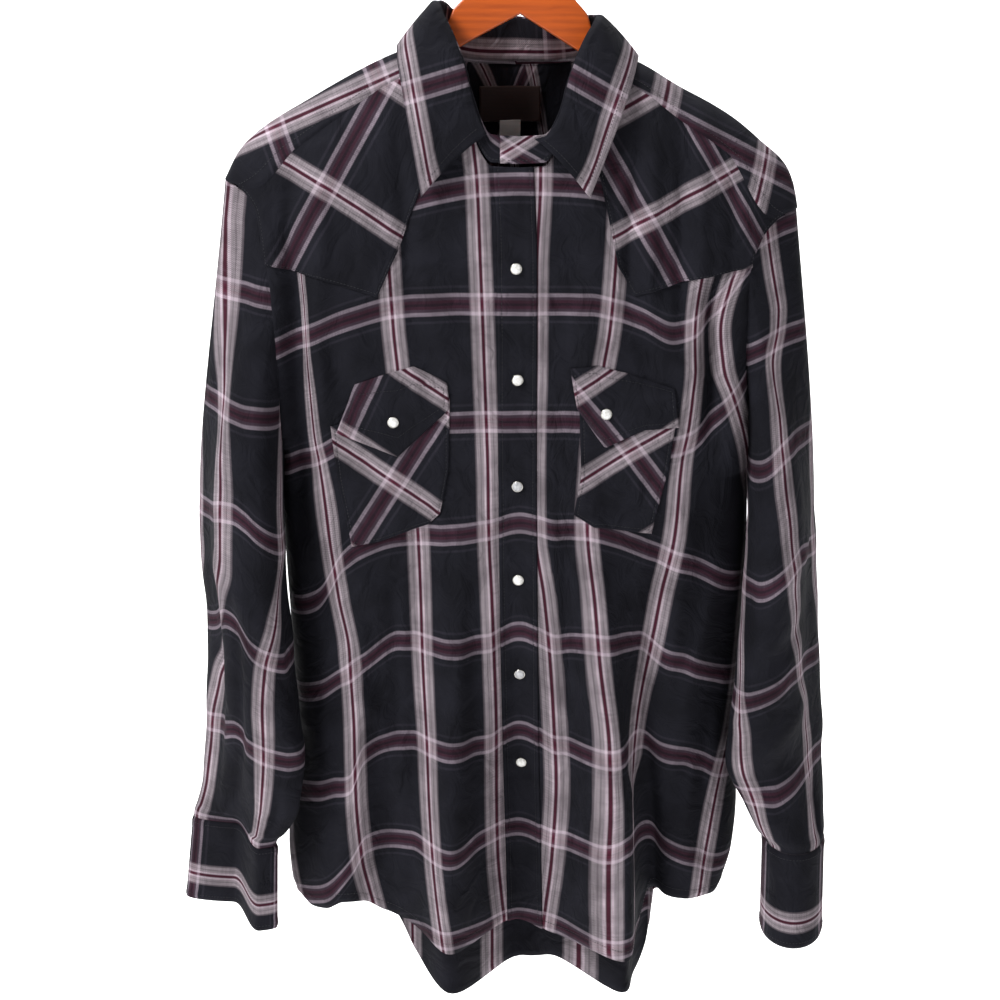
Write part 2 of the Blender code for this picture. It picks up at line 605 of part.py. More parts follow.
YOKE_COLUMNS = (0.0, 0.08, 0.16, 0.22, 0.26, 0.29, 0.32, 0.36, 0.44, 0.54, 0.64, 0.74, 0.82,
                0.89, 0.95, 1.0)
YOKE_ROWS = 13
NECK_SHARE = 0.36          # part of the yoke's upper line that runs round the neck
NECK_TURN = math.radians(112)   # how far round the neck it goes, from centre back
TIP_SHARE = 0.12           # part of the armhole line in front of the shoulder's tip
ROWS_NEAR_SEAM = 1.5       # power by which the yoke's rows are closer at the forward seam
TIP_ROWS = 1.6
ARMHOLE_PULL, ARMHOLE_PULL_FROM = 6, 0.05   # how the outer columns bend to the armhole line


def yoke_start(side, q):
    """Upper line of the back yoke from centre back: x and the way over the ridge."""
    if q < NECK_SHARE:
        turn = q / NECK_SHARE * NECK_TURN
        x = NECK_X + side * NECK_HALF * math.sin(turn)
        if turn < math.pi / 2:
            return x, ridge_along(read(SHOULDER, x) - neckline_z(BACK, x))
        return x, -ridge_along(read(SHOULDER, x) - neckline_z(FRONT, x))
    corner, _along = yoke_start(side, NECK_SHARE - 1e-6)
    end_z = seam_meets_armhole(side) + LAP
    end = read(EDGE[(FRONT, side)], end_z)
    x = mix(corner, end, (q - NECK_SHARE) / (1 - NECK_SHARE))
    return x, -ridge_along(read(SHOULDER, x) - forward_seam_z(x) - 0.4 * LAP)


def yoke_end(side, q):
    tip = read(EDGE[(BACK, side)], yoke_edge_z(SIDE_X))
    x = mix(NECK_X, tip, q)
    return x, ridge_along(read(SHOULDER, x) - yoke_edge_z(x))


def make_back_yoke():
    """One piece over both shoulders, from the forward seams to a pointed edge on the back."""
    stops = tuple(-q for q in reversed(YOKE_COLUMNS[1:])) + YOKE_COLUMNS

    def along_armhole(side, w):
        z_tip = EDGE[(FRONT, side)][0][0]
        if w < TIP_SHARE:
            z, face = z_tip - (FRONT_EDGE_DROP - LAP) * (1 - w / TIP_SHARE) ** 2, FRONT
        else:
            down = ((w - TIP_SHARE) / (1 - TIP_SHARE)) ** TIP_ROWS
            z, face = mix(z_tip, yoke_edge_z(SIDE_X), down), BACK
        x = read(EDGE[(face, side)], z)
        return x, face * ridge_along(max(read(SHOULDER, x) - z, 0.0))

    def point(u, v):
        q = spaced(stops, u)
        side = LEFT if q > 0 else RIGHT
        q = abs(q)
        w = v ** ROWS_NEAR_SEAM
        x0, s0 = yoke_start(side, q)
        x1, s1 = yoke_end(side, q)
        x, s = mix(x0, x1, w), mix(s0, s1, w)
        xa, sa = along_armhole(side, w)
        held = q ** ARMHOLE_PULL * min(w / ARMHOLE_PULL_FROM, 1.0)
        return over_ridge(mix(x, xa, held), mix(s, sa, held), LIFT)
    return sheet("back_yoke", len(stops) - 1, YOKE_ROWS, point, cloth)


# ---------------------------------------------------------------- pieces that lie on the fronts
def along(points, t):
    """The point at share t of the length of a line of points x, z."""
    lengths = [math.dist(a, b) for a, b in zip(points, points[1:])]
    way = t * sum(lengths)
    for (start, end), length in zip(zip(points, points[1:]), lengths):
        if way <= length + 1e-9:
            return tuple(mix(p, q, way / length) for p, q in zip(start, end))
        way -= length
    return points[-1]


def patch(top, bottom, inner, outer):
    """A patch between four edges, each a function of 0..1: x, z at share u out and v down."""
    def place(u, v):
        corners = [(1 - u) * (1 - v), u * (1 - v), (1 - u) * v, u * v]
        ends = [top(0.0), top(1.0), bottom(0.0), bottom(1.0)]
        spot = []
        for k in (0, 1):
            value = (1 - v) * top(u)[k] + v * bottom(u)[k]
            value += (1 - u) * inner(v)[k] + u * outer(v)[k]
            value -= sum(share * end[k] for share, end in zip(corners, ends))
            spot.append(value)
        return spot
    return place


OVERLAY_TOP = 0.4          # upper share of a piece in which it comes down to another lift


def lay_on_front(name, side, place, columns, rows, lift, top_lift=None):
    """A piece on a front, its outer face `lift` off the front's own."""
    def point(u, v):
        x, z = place(u if side == LEFT else 1 - u, 1 - v)
        if top_lift is None:
            return body_point(FRONT, x, z, lift)
        rise = smooth((v - 1 + OVERLAY_TOP) / OVERLAY_TOP)
        return body_point(FRONT, x, z, mix(lift, top_lift, rise))
    return sheet(name, columns, rows, point, cloth)


def edges_of(table):
    return [lambda t, points=table[edge]: along(points, t)
            for edge in ("top", "bottom", "inner", "outer")]


YOKE_OUT_POWER, YOKE_DOWN_POWER = 1.4, 1.3   # closer columns outward and rows at the top


def make_front_yoke(name, side):
    table = FRONT_YOKES[side]
    x_inner = table["inner"][0][0]
    z_low = table["bottom"][-1][1]
    z_high = seam_meets_armhole(side) - LAP

    def top(u):
        x = mix(x_inner, read(EDGE[(FRONT, side)], z_high), u)
        return x, front_top_z(x) - LAP

    def outer(v):
        z = mix(z_high, z_low, v)
        return read(EDGE[(FRONT, side)], z), z
    place = patch(top, lambda t: along(table["bottom"], t), lambda t: along(table["inner"], t),
                  outer)
    return lay_on_front(name, side,
                        lambda u, v: place(1 - (1 - u) ** YOKE_OUT_POWER, v ** YOKE_DOWN_POWER),
                        12, 10, LIFT)


# ---------------------------------------------------------------- collar
def neck_point(angle):
    """The neckline at an angle from centre back, in degrees, positive to the wearer's left."""
    turn = math.radians(angle)
    face = BACK if math.cos(turn) > 0 else FRONT
    x = NECK_X + NECK_HALF * math.sin(turn)
    z = neckline_z(face, x)
    return Vector((x, body_y(face, x, z), z))


def neck_out(angle):
    """The way out of the neck, level."""
    ahead = neck_point(angle + 2.0) - neck_point(angle - 2.0)
    return Vector((-ahead.y, ahead.x, 0.0)).normalized()


STAND_LAP = 0.0030         # how far the left end of the stand lies in front of the right one
STAND_RISE = 0.0046        # foot of the stand above the neckline


def stand_point(angle, share):
    """A point of the stand's outer face, from its foot to its top."""
    away = min(abs(angle), 180.0)
    height = read(STAND, away, 2 if angle > 0 else 1)
    out = STAND_LAP * smooth((angle - STAND_LAP_FROM) / STAND_LAP_OVER)
    out -= read(STAND, away, 3) * share
    return neck_point(angle) + neck_out(angle) * out + Vector((0, 0, STAND_RISE + height * share))


def make_collar_stand():
    limit = 180.0 + STAND_LAP_ANGLE

    def point(u, v):
        return stand_point(mix(limit, -limit, u), v)
    return sheet("collar_stand", 34, 2, point, cloth, STIFF_WALL)


def make_collar_fall():
    """The fall of the collar: over the stand's top and down to the points."""
    def point(u, v):
        side = LEFT if u < 0.5 else RIGHT
        share = abs(u - 0.5) * 2
        angle = side * share * FALL_END_ANGLE[side]
        ended = share ** 8
        roll = stand_point(angle, 1.0) + Vector((0, 0, mix(FALL_RISE, FALL_END_RISE, ended)))
        roll += neck_out(angle) * mix(FALL_OUT, FALL_END_OUT, ended)
        edge = Vector([read(FALL_EDGE[side], share, k) for k in (1, 2, 3)])
        bend = roll.lerp(edge, 0.5)
        forward = smooth((share - FALL_BEND_FROM) / FALL_BEND_OVER)
        low = mix(FALL_BEND_BACK, FALL_BEND_FRONT, forward) + FALL_BEND_END * ended
        bend.z = mix(roll.z, edge.z, low)
        t = 1 - v
        return roll * (1 - t) ** 2 + bend * 2 * t * (1 - t) + edge * t * t
    return sheet("collar_fall", 34, 4, point, cloth, STIFF_WALL)


# ---------------------------------------------------------------- sleeves
def section_point(table, side, angle, z, extra=0.0):
    """A point of a flattened tube at a height, its long way turned from outward-back."""
    middle_x, middle_y, long_half, short_half, turn, step = (
        read(table, z, k) for k in range(1, 7))
    turn = math.radians(turn)
    at = math.radians(angle) + turn
    far = (long_half + extra) * math.cos(at)
    near = (short_half + extra) * math.sin(at)
    outward = far * math.cos(turn) + near * math.sin(turn)
    forward = near * math.cos(turn) - far * math.sin(turn)
    inward = 0.5 - far / long_half / 2
    forward += step * (smooth((inward - STEP_FROM) / STEP_SHARE) - 0.5)
    return Vector((middle_x + side * outward, middle_y - forward, z))


def sleeve_fold(side, angle, z):
    push = 0.0
    for _name, middle, half, depth, z_from, z_to in SLEEVE_FOLDS[side]:
        share = (z_from - z) / (z_from - z_to)
        if 0 < share < 1:
            away = (angle - middle + 180) % 360 - 180
            fade = math.sin(math.pi * share) ** FOLD_END
            push += depth * fade * math.exp(-(away / half) ** 2)
    return push


def armhole_point(side, angle):
    """The armhole seam: 0 degrees at the shoulder tip, 90 in front, 180 under the arm."""
    turn = math.radians(angle)
    z_tip = EDGE[(FRONT, side)][0][0]
    z = mix(z_tip, UNDERARM_Z[side], (1 - math.cos(turn)) / 2)
    face = FRONT if math.sin(turn) > 0 else BACK
    x = read(EDGE[(face, side)], z)
    off = LAP * (ARMHOLE_OFF + ARMHOLE_OFF_TOP * (1 + math.cos(turn)) / 2)
    return Vector((x + side * off, body_y(face, x, z), z))


def sleeve_point(side, angle, z, extra=0.0):
    return section_point(SLEEVE[side], side, angle, z, extra + sleeve_fold(side, angle, z))


SLEEVE_CAP_ROWS = 8
SLEEVE_ROWS = 12
SLEEVE_COLUMNS = 18


def make_sleeve(name, side):
    """A tube from the armhole, out over the shoulder and down to the cuff."""
    z_cap = SLEEVE[side][0][0]
    z_end = SLEEVE[side][-1][0]
    share = SLEEVE_CAP_ROWS / (SLEEVE_CAP_ROWS + SLEEVE_ROWS)

    def point(u, v):
        angle = 360.0 * (u if side == RIGHT else 1 - u)
        down = 1 - v
        if down >= share:
            return sleeve_point(side, angle, mix(z_cap, z_end, (down - share) / (1 - share)))
        t = down / share
        start = armhole_point(side, angle)
        end = sleeve_point(side, angle, z_cap)
        reach = (end - start).length
        top_share = (1 + math.cos(math.radians(angle))) / 2
        out = side * mix(CAP_OUT_LOW, CAP_OUT_TOP, top_share)
        leave = Vector((out, 0, -CAP_DOWN)) * reach * CAP_LEAVE
        arrive = Vector((-side * CAP_IN_TOP * top_share, 0, 1)) * reach * CAP_ARRIVE
        return (start * (1 - t) ** 3 + (start + leave) * 3 * t * (1 - t) ** 2
                + (end + arrive) * 3 * t * t * (1 - t) + end * t ** 3)
    return sheet(name, SLEEVE_COLUMNS, SLEEVE_CAP_ROWS + SLEEVE_ROWS, point, cloth, closed=True)


CUFF_STEP = 0.0034         # how far the lapped end of a cuff lies outside the other


def cuff_point(side, turned, z, extra=0.0):
    """A point of a cuff `turned` degrees from its inner end, with the lap lying outside."""
    lap = CUFF_STEP * smooth((turned - CUFF_STEP_FROM) / CUFF_STEP_OVER)
    return section_point(CUFF[side], side, CUFF_LAP_START + turned, z, extra + lap)


def make_cuff(name, side):
    z_top = CUFF[side][0][0]
    z_low = CUFF[side][-1][0]

    def point(u, v):
        turned = (360.0 + CUFF_LAP) * (u if side == RIGHT else 1 - u)
        return cuff_point(side, turned, mix(z_low, z_top, v))
    return sheet(name, 24, 2, point, cloth, STIFF_WALL)


def make_sleeve_placket(name, side):
    """The strip over the slit that lets the cuff open, at the back of the sleeve."""
    z_low = SLEEVE[side][-1][0] + SLIT_FOOT

    def point(u, v):
        angle = CUFF_LAP_START + SLIT_TURN + SLIT_WIDTH * (u if side == RIGHT else 1 - u)
        return sleeve_point(side, angle, z_low + SLIT_LENGTH * v, LIFT + SLIT_LIFT)
    return sheet(name, 3, 9, point, cloth)


# ---------------------------------------------------------------- small pieces
def add_snap(name, spot, normal):
    """A pearl snap: a low round cap standing on the cloth."""
    bm = bmesh.new()
    bmesh.ops.create_cone(bm, cap_ends=True, segments=12, radius1=SNAP_RADIUS,
                          radius2=SNAP_RADIUS * SNAP_TOP, depth=SNAP_HEIGHT)
    item = add_mesh(name, bm, pearl)
    item.data.set_sharp_from_angle(angle=math.radians(40))
    item.location = spot + normal * (SNAP_HEIGHT / 2 + SNAP_GAP)
    item.rotation_euler = normal.to_track_quat("Z", "Y").to_euler()


def facing(function, spot_args, lift):
    """Where a surface function is at a lift, and its normal there."""
    outer = function(*spot_args, lift)
    return outer, (function(*spot_args, lift + NORMAL_STEP) - outer).normalized()


def make_snaps():
    for number, z in enumerate(SNAP_HEIGHTS, 1):
        spot, normal = facing(body_point, (FRONT, read(CENTRE, z), z), LIFT)
        add_snap(f"snap_front_{number}", spot, normal)
    for name, side in (("right", RIGHT), ("left", LEFT)):
        spot, normal = facing(body_point, (FRONT, *FLAP_SNAPS[side]), 2 * LIFT)
        add_snap(f"snap_flap_{name}", spot, normal)
        for number, drop in enumerate(CUFF_SNAP_DROPS, 1):
            z = CUFF[side][0][0] - drop
            turned = 360.0 + CUFF_LAP / 2
            spot = cuff_point(side, turned, z)
            round_it = cuff_point(side, turned + 2.0, z) - cuff_point(side, turned - 2.0, z)
            up = cuff_point(side, turned, z + NORMAL_STEP) - spot
            add_snap(f"snap_cuff_{name}_{number}", spot, round_it.cross(up).normalized() * -side)


def make_label(name):
    """A plain label on the inside of the back yoke."""
    z_low, z_high, half, lift = LABEL[name]

    def point(u, v):
        return body_point(BACK, LABEL_X + (2 * u - 1) * half, mix(z_low, z_high, v), lift)
    finish = label_cloth if name == "neck_label" else tab_cloth
    return sheet(name, 4, 2, point, finish, LABEL_WALL)


# ---------------------------------------------------------------- hanger
def as_mesh(item):
    """The evaluated mesh of a curve, as an object in its place, with its caps welded."""
    depsgraph = bpy.context.evaluated_depsgraph_get()
    mesh = bpy.data.meshes.new_from_object(item.evaluated_get(depsgraph))
    bm = bmesh.new()
    bm.from_mesh(mesh)
    bmesh.ops.remove_doubles(bm, verts=bm.verts, dist=1e-5)
    bm.to_mesh(mesh)
    bm.free()
    solid = bpy.data.objects.new(item.name + "_solid", mesh)
    solid.matrix_world = item.matrix_world
    PARTS.objects.link(solid)
    name = item.name
    bpy.data.objects.remove(item, do_unlink=True)
    solid.name = name
    return solid


def flat_curve(name, points, finish, cyclic):
    curve = bpy.data.curves.new(name, "CURVE")
    spline = curve.splines.new("POLY")
    spline.points.add(len(points) - 1)
    for knot, (x, z) in zip(spline.points, points):
        knot.co = (x, z, 0.0, 1.0)
    spline.use_cyclic_u = cyclic
    curve.materials.append(finish(name))
    item = bpy.data.objects.new(name, curve)
    item.rotation_euler = (math.pi / 2, math.radians(HANGER_TILT), 0.0)
    PARTS.objects.link(item)
    return item


def make_hanger_body():
    """Flat shaped wood with a raised middle and a notch under it, bored for the hook."""
    knots = [row[0] for row in HANGER_TOP]
    between = [mix(a, b, 0.5) for a, b in zip(knots, knots[1:])]
    top = [(x, read(HANGER_TOP, x)) for x in sorted(knots + between)]
    half = top + list(HANGER_TIP) + list(HANGER_UNDER)
    outline = half + [(-x, z) for x, z in reversed(half[1:-1])]
    item = flat_curve("hanger_body", outline, varnished_wood, True)
    item.data.dimensions = "2D"
    item.data.fill_mode = "BOTH"
    item.data.extrude = HANGER_THICK / 2
    bpy.context.view_layer.update()
    body = as_mesh(item)
    edge = body.modifiers.new("rounded edge", "BEVEL")
    edge.width = HANGER_EDGE
    edge.segments = 2
    edge.limit_method = "ANGLE"
    edge.angle_limit = math.radians(50)
    bore = bmesh.new()
    bore_radius = HOOK_WIRE / 2 + BORE_AIR
    bmesh.ops.create_cone(bore, cap_ends=True, segments=12, depth=BORE_LENGTH,
                          radius1=bore_radius, radius2=bore_radius)
    mesh = bpy.data.meshes.new("hook_bore")
    bore.to_mesh(mesh)
    bore.free()
    cutter = bpy.data.objects.new("hook_bore", mesh)
    CUTTERS.objects.link(cutter)
    cutter.hide_render = True
    cutter.display_type = "WIRE"
    tilt = math.radians(HANGER_TILT)
    depth = HOOK_FOOT_Z - BORE_DROP
    cutter.location = (depth * math.sin(tilt), 0.0, depth * math.cos(tilt))
    cutter.rotation_euler = (0.0, tilt, 0.0)
    cut = body.modifiers.new("bore", "BOOLEAN")
    cut.operation = "DIFFERENCE"
    cut.object = cutter


def make_hook():
    """A wire hook: a straight foot in the wood, a bend, and a round crown over the rail."""
    middle_z = HOOK_WIRE / 2 - HOOK_RADIUS
    round_part = [(HOOK_RADIUS * math.cos(math.radians(a)),
                   middle_z + HOOK_RADIUS * math.sin(math.radians(a)))
                  for a in range(210, -46, -15)]
    foot = [(0.0, HOOK_FOOT_Z - HOOK_FOOT_HALF), (0.0, HOOK_FOOT_Z + HOOK_FOOT_HALF)]
    item = flat_curve("hanger_hook", foot + list(HOOK_BEND) + round_part, chrome, False)
    item.data.dimensions = "3D"
    item.data.bevel_depth = HOOK_WIRE / 2
    item.data.bevel_resolution = 2
    item.data.use_fill_caps = True


def build():
    make_front("front_right", RIGHT)
    make_front("front_left", LEFT)
    make_placket()
    make_back()
    make_back_yoke()
    for word, side in (("right", RIGHT), ("left", LEFT)):
        make_front_yoke(f"front_yoke_{word}", side)
        lay_on_front(f"pocket_{word}", side, patch(*edges_of(POCKETS[side])), 6, 6, LIFT)
        lay_on_front(f"flap_{word}", side, patch(*edges_of(FLAPS[side])), 6, 4, 2 * LIFT, LIFT)
        make_sleeve(f"sleeve_{word}", side)
        make_cuff(f"cuff_{word}", side)
        make_sleeve_placket(f"sleeve_placket_{word}", side)
    make_collar_stand()
    make_collar_fall()
    make_snaps()
    for name in LABEL:
        make_label(name)
    make_hanger_body()
    make_hook()


clear_scene()
PARTS = make_collection("western_snap_shirt")
CUTTERS = make_collection("cutters")
build()
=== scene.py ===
"""Looks of a western snap shirt hung on a wooden hanger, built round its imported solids.

Metres, +Z up, the shirt's front faces -Y and the wearer's left side is +X. Each cloth piece is
a thin shell on the form of its solid: the same tables of sizes, drawn finer, with the small
creases, the turned edges, the stitching and the woven plaid added.
"""

import logging
import math
from dataclasses import dataclass
from enum import IntEnum
from functools import lru_cache
from typing import Callable

import bmesh
import bpy
import numpy as np
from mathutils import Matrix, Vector


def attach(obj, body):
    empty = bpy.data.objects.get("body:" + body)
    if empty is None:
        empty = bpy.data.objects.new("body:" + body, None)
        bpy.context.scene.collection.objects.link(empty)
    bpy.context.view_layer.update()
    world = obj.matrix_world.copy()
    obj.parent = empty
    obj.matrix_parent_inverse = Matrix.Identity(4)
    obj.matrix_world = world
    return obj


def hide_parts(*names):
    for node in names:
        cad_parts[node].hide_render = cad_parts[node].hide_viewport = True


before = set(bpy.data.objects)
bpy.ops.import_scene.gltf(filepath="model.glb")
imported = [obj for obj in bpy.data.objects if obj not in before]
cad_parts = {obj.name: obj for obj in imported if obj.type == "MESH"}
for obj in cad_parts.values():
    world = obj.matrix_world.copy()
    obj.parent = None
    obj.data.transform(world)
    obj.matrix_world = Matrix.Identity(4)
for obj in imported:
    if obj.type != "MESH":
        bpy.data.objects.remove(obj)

LOG = logging.getLogger("western_snap_shirt")
Array = np.ndarray
Locate = Callable[[Array, Array], Array]
Table = tuple
Socket = bpy.types.NodeSocket


class Face(IntEnum):
    """Which way a panel looks along Y."""

    FRONT = -1
    BACK = 1


class Side(IntEnum):
    """The wearer's side by its sign along X."""

    RIGHT = -1
    LEFT = 1

    @property
    def word(self) -> str:
        """The side's name in the names of pieces."""
        return self.name.lower()


# ---------------- interpolation
def smooth(share: Array) -> Array:
    """Ease from 0 to 1."""
    share = np.clip(share, 0.0, 1.0)
    return share * share * (3.0 - 2.0 * share)


def mix(a: Array, b: Array, share: Array) -> Array:
    """The value at a share of the way from a to b."""
    return a + (b - a) * share


def mm(*rows: tuple) -> Table:
    """Rows of millimetres as rows of metres."""
    return tuple(tuple(value / 1000 for value in row) for row in rows)


@lru_cache(maxsize=None)
def knots_of(table: Table, column: int) -> tuple[Array, Array, Array]:
    """Places, values and slopes of a table's column for a line that never overshoots."""
    rows = np.array([(row[0], row[column]) for row in sorted(table)], float)
    places, values = rows[:, 0], rows[:, 1]
    steps = np.diff(values) / np.diff(places)
    before, after = steps[:-1], steps[1:]
    same_way = before * after > 0
    inner = np.where(same_way, 2 * before * after / np.where(same_way, before + after, 1.0), 0.0)
    return places, values, np.concatenate((steps[:1], inner, steps[-1:]))


def read(table: Table, at: Array, column: int = 1) -> Array:
    """Values of a table's column, on a smooth line through its rows.

    Args:
        table: rows of numbers, the first of them the place.
        at: the places to read.
        column: which number of each row.

    Returns:
        The values, held at the first and last row's outside them.
    """
    places, values, slopes = knots_of(table, column)
    at = np.clip(np.asarray(at, float), places[0], places[-1])
    i = np.clip(np.searchsorted(places, at, side="right") - 1, 0, len(places) - 2)
    width = places[i + 1] - places[i]
    t = (at - places[i]) / width
    eased = t * t * (3 - 2 * t)
    bent = t * (1 - t) * ((1 - t) * slopes[i] - t * slopes[i + 1])
    return mix(values[i], values[i + 1], eased) + width * bent


def along(points: Table, share: Array) -> Array:
    """Points at shares of the length of a line of points x, z."""
    line = np.array(points, float)
    way = np.concatenate(([0.0], np.cumsum(np.linalg.norm(np.diff(line, axis=0), axis=1))))
    at = np.asarray(share, float) * way[-1]
    return np.stack([np.interp(at, way, line[:, k]) for k in (0, 1)], -1)


def unit(vectors: Array) -> Array:
    """Rows of unit length."""
    return vectors / np.maximum(np.linalg.norm(vectors, axis=-1, keepdims=True), 1e-12)


# ---------------- the hanging body
@dataclass(frozen=True)
class Body:
    """The form of the hanging shirt: where its front and back lie at any x and z."""

    wall: float = 0.0007  # one layer of cloth
    lift: float = 0.0013  # outer face of an overlay off its panel
    seam_step: float = 0.0004
    ridge_round: float = 0.01  # drop over which the cloth turns over the hanger
    ridge_half: float = 0.011
    depth_length: float = 0.05
    neck_x: float = -0.0065
    neck_half: float = 0.0745
    neck_half_depth: float = 0.045
    neck_spread: float = 0.052
    neck_front_z: float = -0.253
    neck_back_z: float = -0.167
    front_edge_drop: float = 0.009
    centre_half: float = 0.206
    fold_full_z: float = -0.96
    held_share: float = 0.8  # of the depth, at the armhole
    held_from: float = 0.45  # share of the armhole's height at which its hold starts to fade
    edge_round: int = 6  # power of a panel's turn into its side seam
    fold_growth: float = 0.25  # how a fold grows on below the height where it is full
    fold_sharp: float = 1.6
    uneven_slant: float = 0.7
    step: float = 0.002  # between the points that give a normal
    least_facing: float = 0.15  # how far a normal still looks out of the panel
    seam_bend: float = 0.2  # end share of the shoulder seam that bends to the armhole
    column_hold: float = 0.085  # share of the width in which columns keep to the placket
    column_blend: float = 0.12
    # distance from the middle over half the width, share in front, share at the back
    neckline: Table = ((0.0, 1.0, 1.0), (0.3, 0.99, 0.99), (0.45, 0.86, 0.97),
                       (0.62, 0.53, 0.9), (0.8, 0.24, 0.68), (1.0, 0.0, 0.0))
    # shoulder line from the right tip to the left one: x, z
    shoulder: Table = mm(
        (-267, -266), (-250.5, -240), (-230, -222), (-200, -204), (-115, -160), (-79.5, -148.5),
        (-6.5, -146), (66.5, -154.5), (101, -168), (134, -187), (165, -203), (186, -216),
        (210, -235.5), (229, -252), (238.5, -269), (243.5, -290))
    # drop of the forward seam below it by the distance from the middle
    seam_drops: Table = mm((60, 20), (110, 24), (170, 32), (215, 38))
    # outer line of a panel down the armhole and then the side: z, x
    side_right: Table = mm(
        (-510, -225), (-560, -229), (-620, -228.5), (-700, -226), (-800, -224), (-860, -230),
        (-910, -232.5), (-940, -230), (-957, -225.5))
    side_left: Table = mm(
        (-530, 210.5), (-570, 213), (-620, 215.5), (-700, 214), (-800, 213), (-866, 214),
        (-915, 209), (-955, 196))
    edge_front_right: Table = mm(
        (-266, -267), (-275, -247), (-292, -236), (-336, -229), (-369, -225),
        (-440, -224)) + side_right
    edge_back_right: Table = mm((-266, -267), (-300, -254), (-400, -238)) + side_right
    edge_front_left: Table = mm(
        (-290, 243.5), (-298, 223), (-316, 208), (-340, 200), (-400, 200),
        (-460, 205.5)) + side_left
    edge_back_left: Table = mm((-290, 243.5), (-320, 234), (-420, 222)) + side_left
    # middle of the placket: z, x
    centre: Table = mm(
        (-1060, 4), (-975, 3), (-740, -3), (-550, -6), (-370, -7), (-250, -12), (-140, -12))
    # distance from the hanger's plane where no fold moves the cloth: z, y
    depth_front: Table = mm(
        (-1060, 55), (-800, 55), (-600, 58), (-400, 57), (-250, 55), (-140, 52))
    depth_back: Table = mm(
        (-1060, -8), (-950, 4), (-800, 28), (-600, 48), (-300, 58), (-140, 62))
    side_y: Table = mm(
        (-960, -12), (-905, 5), (-830, 29), (-740, 35), (-620, 31), (-560, 16), (-500, 0))
    hem_front: Table = mm(
        (-225, -957), (-207, -964), (-192, -960), (-174, -950), (-155, -953), (-135, -968),
        (-110, -977), (-67, -989), (-30, -990), (5, -991), (45, -992), (84, -988), (103, -972),
        (114, -944), (150, -947), (194, -955))
    hem_back: Table = mm(
        (-225, -957), (-150, -972), (-126, -1000), (-108, -1032), (-88, -1051), (-60, -1060),
        (-22, -1063), (6, -1058), (36, -1043), (55, -1047), (76, -1050), (104, -1049),
        (118, -1026), (126, -976), (150, -960), (194, -955))
    # folds of both faces: x at the start, x at the hem, z of the start, half width, push, lean
    folds: Table = mm(
        (-8, -4, -560, 36, -34, 0), (-50, -67, -480, 34, 37, -4), (-118, -131, -600, 30, -10, 0),
        (-160, -180, -470, 30, 18, 0), (56, 76, -450, 32, 50, 21), (100, 118, -620, 18, -16, 8),
        (140, 158, -500, 36, 12, 0))
    # creases of the fronts: x and z at one end, x and z at the other, half width, depth outward
    creases_front: Table = mm(
        (-204, -300, -206, -600, 12, -14), (-205, -345, -150, -470, 10, -3),
        (-186, -330, -178, -540, 9, 3.6), (-190, -560, -130, -660, 11, 4),
        (-205, -620, -135, -745, 12, -5.2), (-190, -655, -120, -800, 10, 3.4),
        (-175, -700, -185, -940, 10, -7), (-150, -640, -158, -940, 12, 4.8),
        (-120, -600, -118, -800, 8, -2.6), (-100, -560, -104, -960, 9, -4.4),
        (-78, -480, -72, -720, 8, 1.8), (-46, -600, -43, -960, 8, -4.8),
        (-28, -480, -29, -900, 6, 2.2), (23, -420, 30, -900, 7, 2.6),
        (38, -560, 40, -960, 8, -4.4), (60, -530, 70, -700, 7, 2),
        (130, -560, 96, -800, 10, -5.8), (156, -500, 128, -760, 12, 4.6),
        (190, -600, 150, -760, 12, 4.2), (175, -760, 168, -930, 9, -6),
        (195, -700, 140, -860, 10, -4), (60, -300, 50, -430, 12, 2.4),
        (163, -345, 168, -500, 7.5, -12), (185, -400, 190, -560, 11, 4),
        (204, -340, 211, -580, 9, -11), (100, -380, 112, -440, 10, -2),
        (96, -212, 88, -410, 7, -4), (112, -205, 110, -390, 7, 3.4),
        (134, -215, 138, -420, 7.5, -4.2), (152, -225, 156, -360, 7, 3),
        (180, -250, 184, -360, 8, -3.6), (-200, -240, -212, -350, 8, -4),
        (-180, -230, -176, -370, 8, 2.8), (-112, -200, -98, -400, 8, -3.4),
        (-100, -385, -85, -440, 10, -2), (-60, -290, -58, -420, 10, -2.2),
        (-40, -300, -150, -345, 9, -1.4), (90, -250, 130, -350, 10, -2))
    creases_back: Table = mm(
        (-150, -360, -120, -600, 14, 4.4), (-80, -350, -70, -900, 15, -5.8),
        (-30, -340, -36, -980, 13, 5.2), (0, -500, -6, -980, 9, -3.6),
        (30, -340, 24, -960, 13, 4.6), (75, -350, 60, -820, 14, -5.4),
        (140, -360, 120, -640, 14, 4.4), (-190, -520, -120, -740, 13, -5),
        (185, -520, 125, -760, 13, -5), (-200, -600, -140, -820, 11, 4),
        (195, -620, 140, -840, 11, 3.8), (-170, -660, -150, -940, 11, 4.4),
        (160, -680, 150, -930, 11, 4.4))
    crease_gain: float = 1.5
    # waves of the cloth's own unevenness: radians a metre across and down, start, depth
    uneven: Table = ((61, 23, 0.0, 0.001), (118, -37, 1.3, 0.0006), (203, 91, 4.0, 0.0003),
                     (330, -150, 2.2, 0.00016))

    def edge_x(self, face: int, side: int, z: Array) -> Array:
        """Outer line of a panel at a height."""
        name = f"edge_{Face(face).name.lower()}_{Side(side).word}"
        return read(getattr(self, name), z)

    def tip_z(self, side: int) -> float:
        """Height of the shoulder's tip, where the sleeve begins."""
        return self.edge_front_right[0][0] if side == Side.RIGHT else self.edge_front_left[0][0]

    def underarm_z(self, side: int) -> float:
        """Height of the underarm."""
        return self.side_right[0][0] if side == Side.RIGHT else self.side_left[0][0]

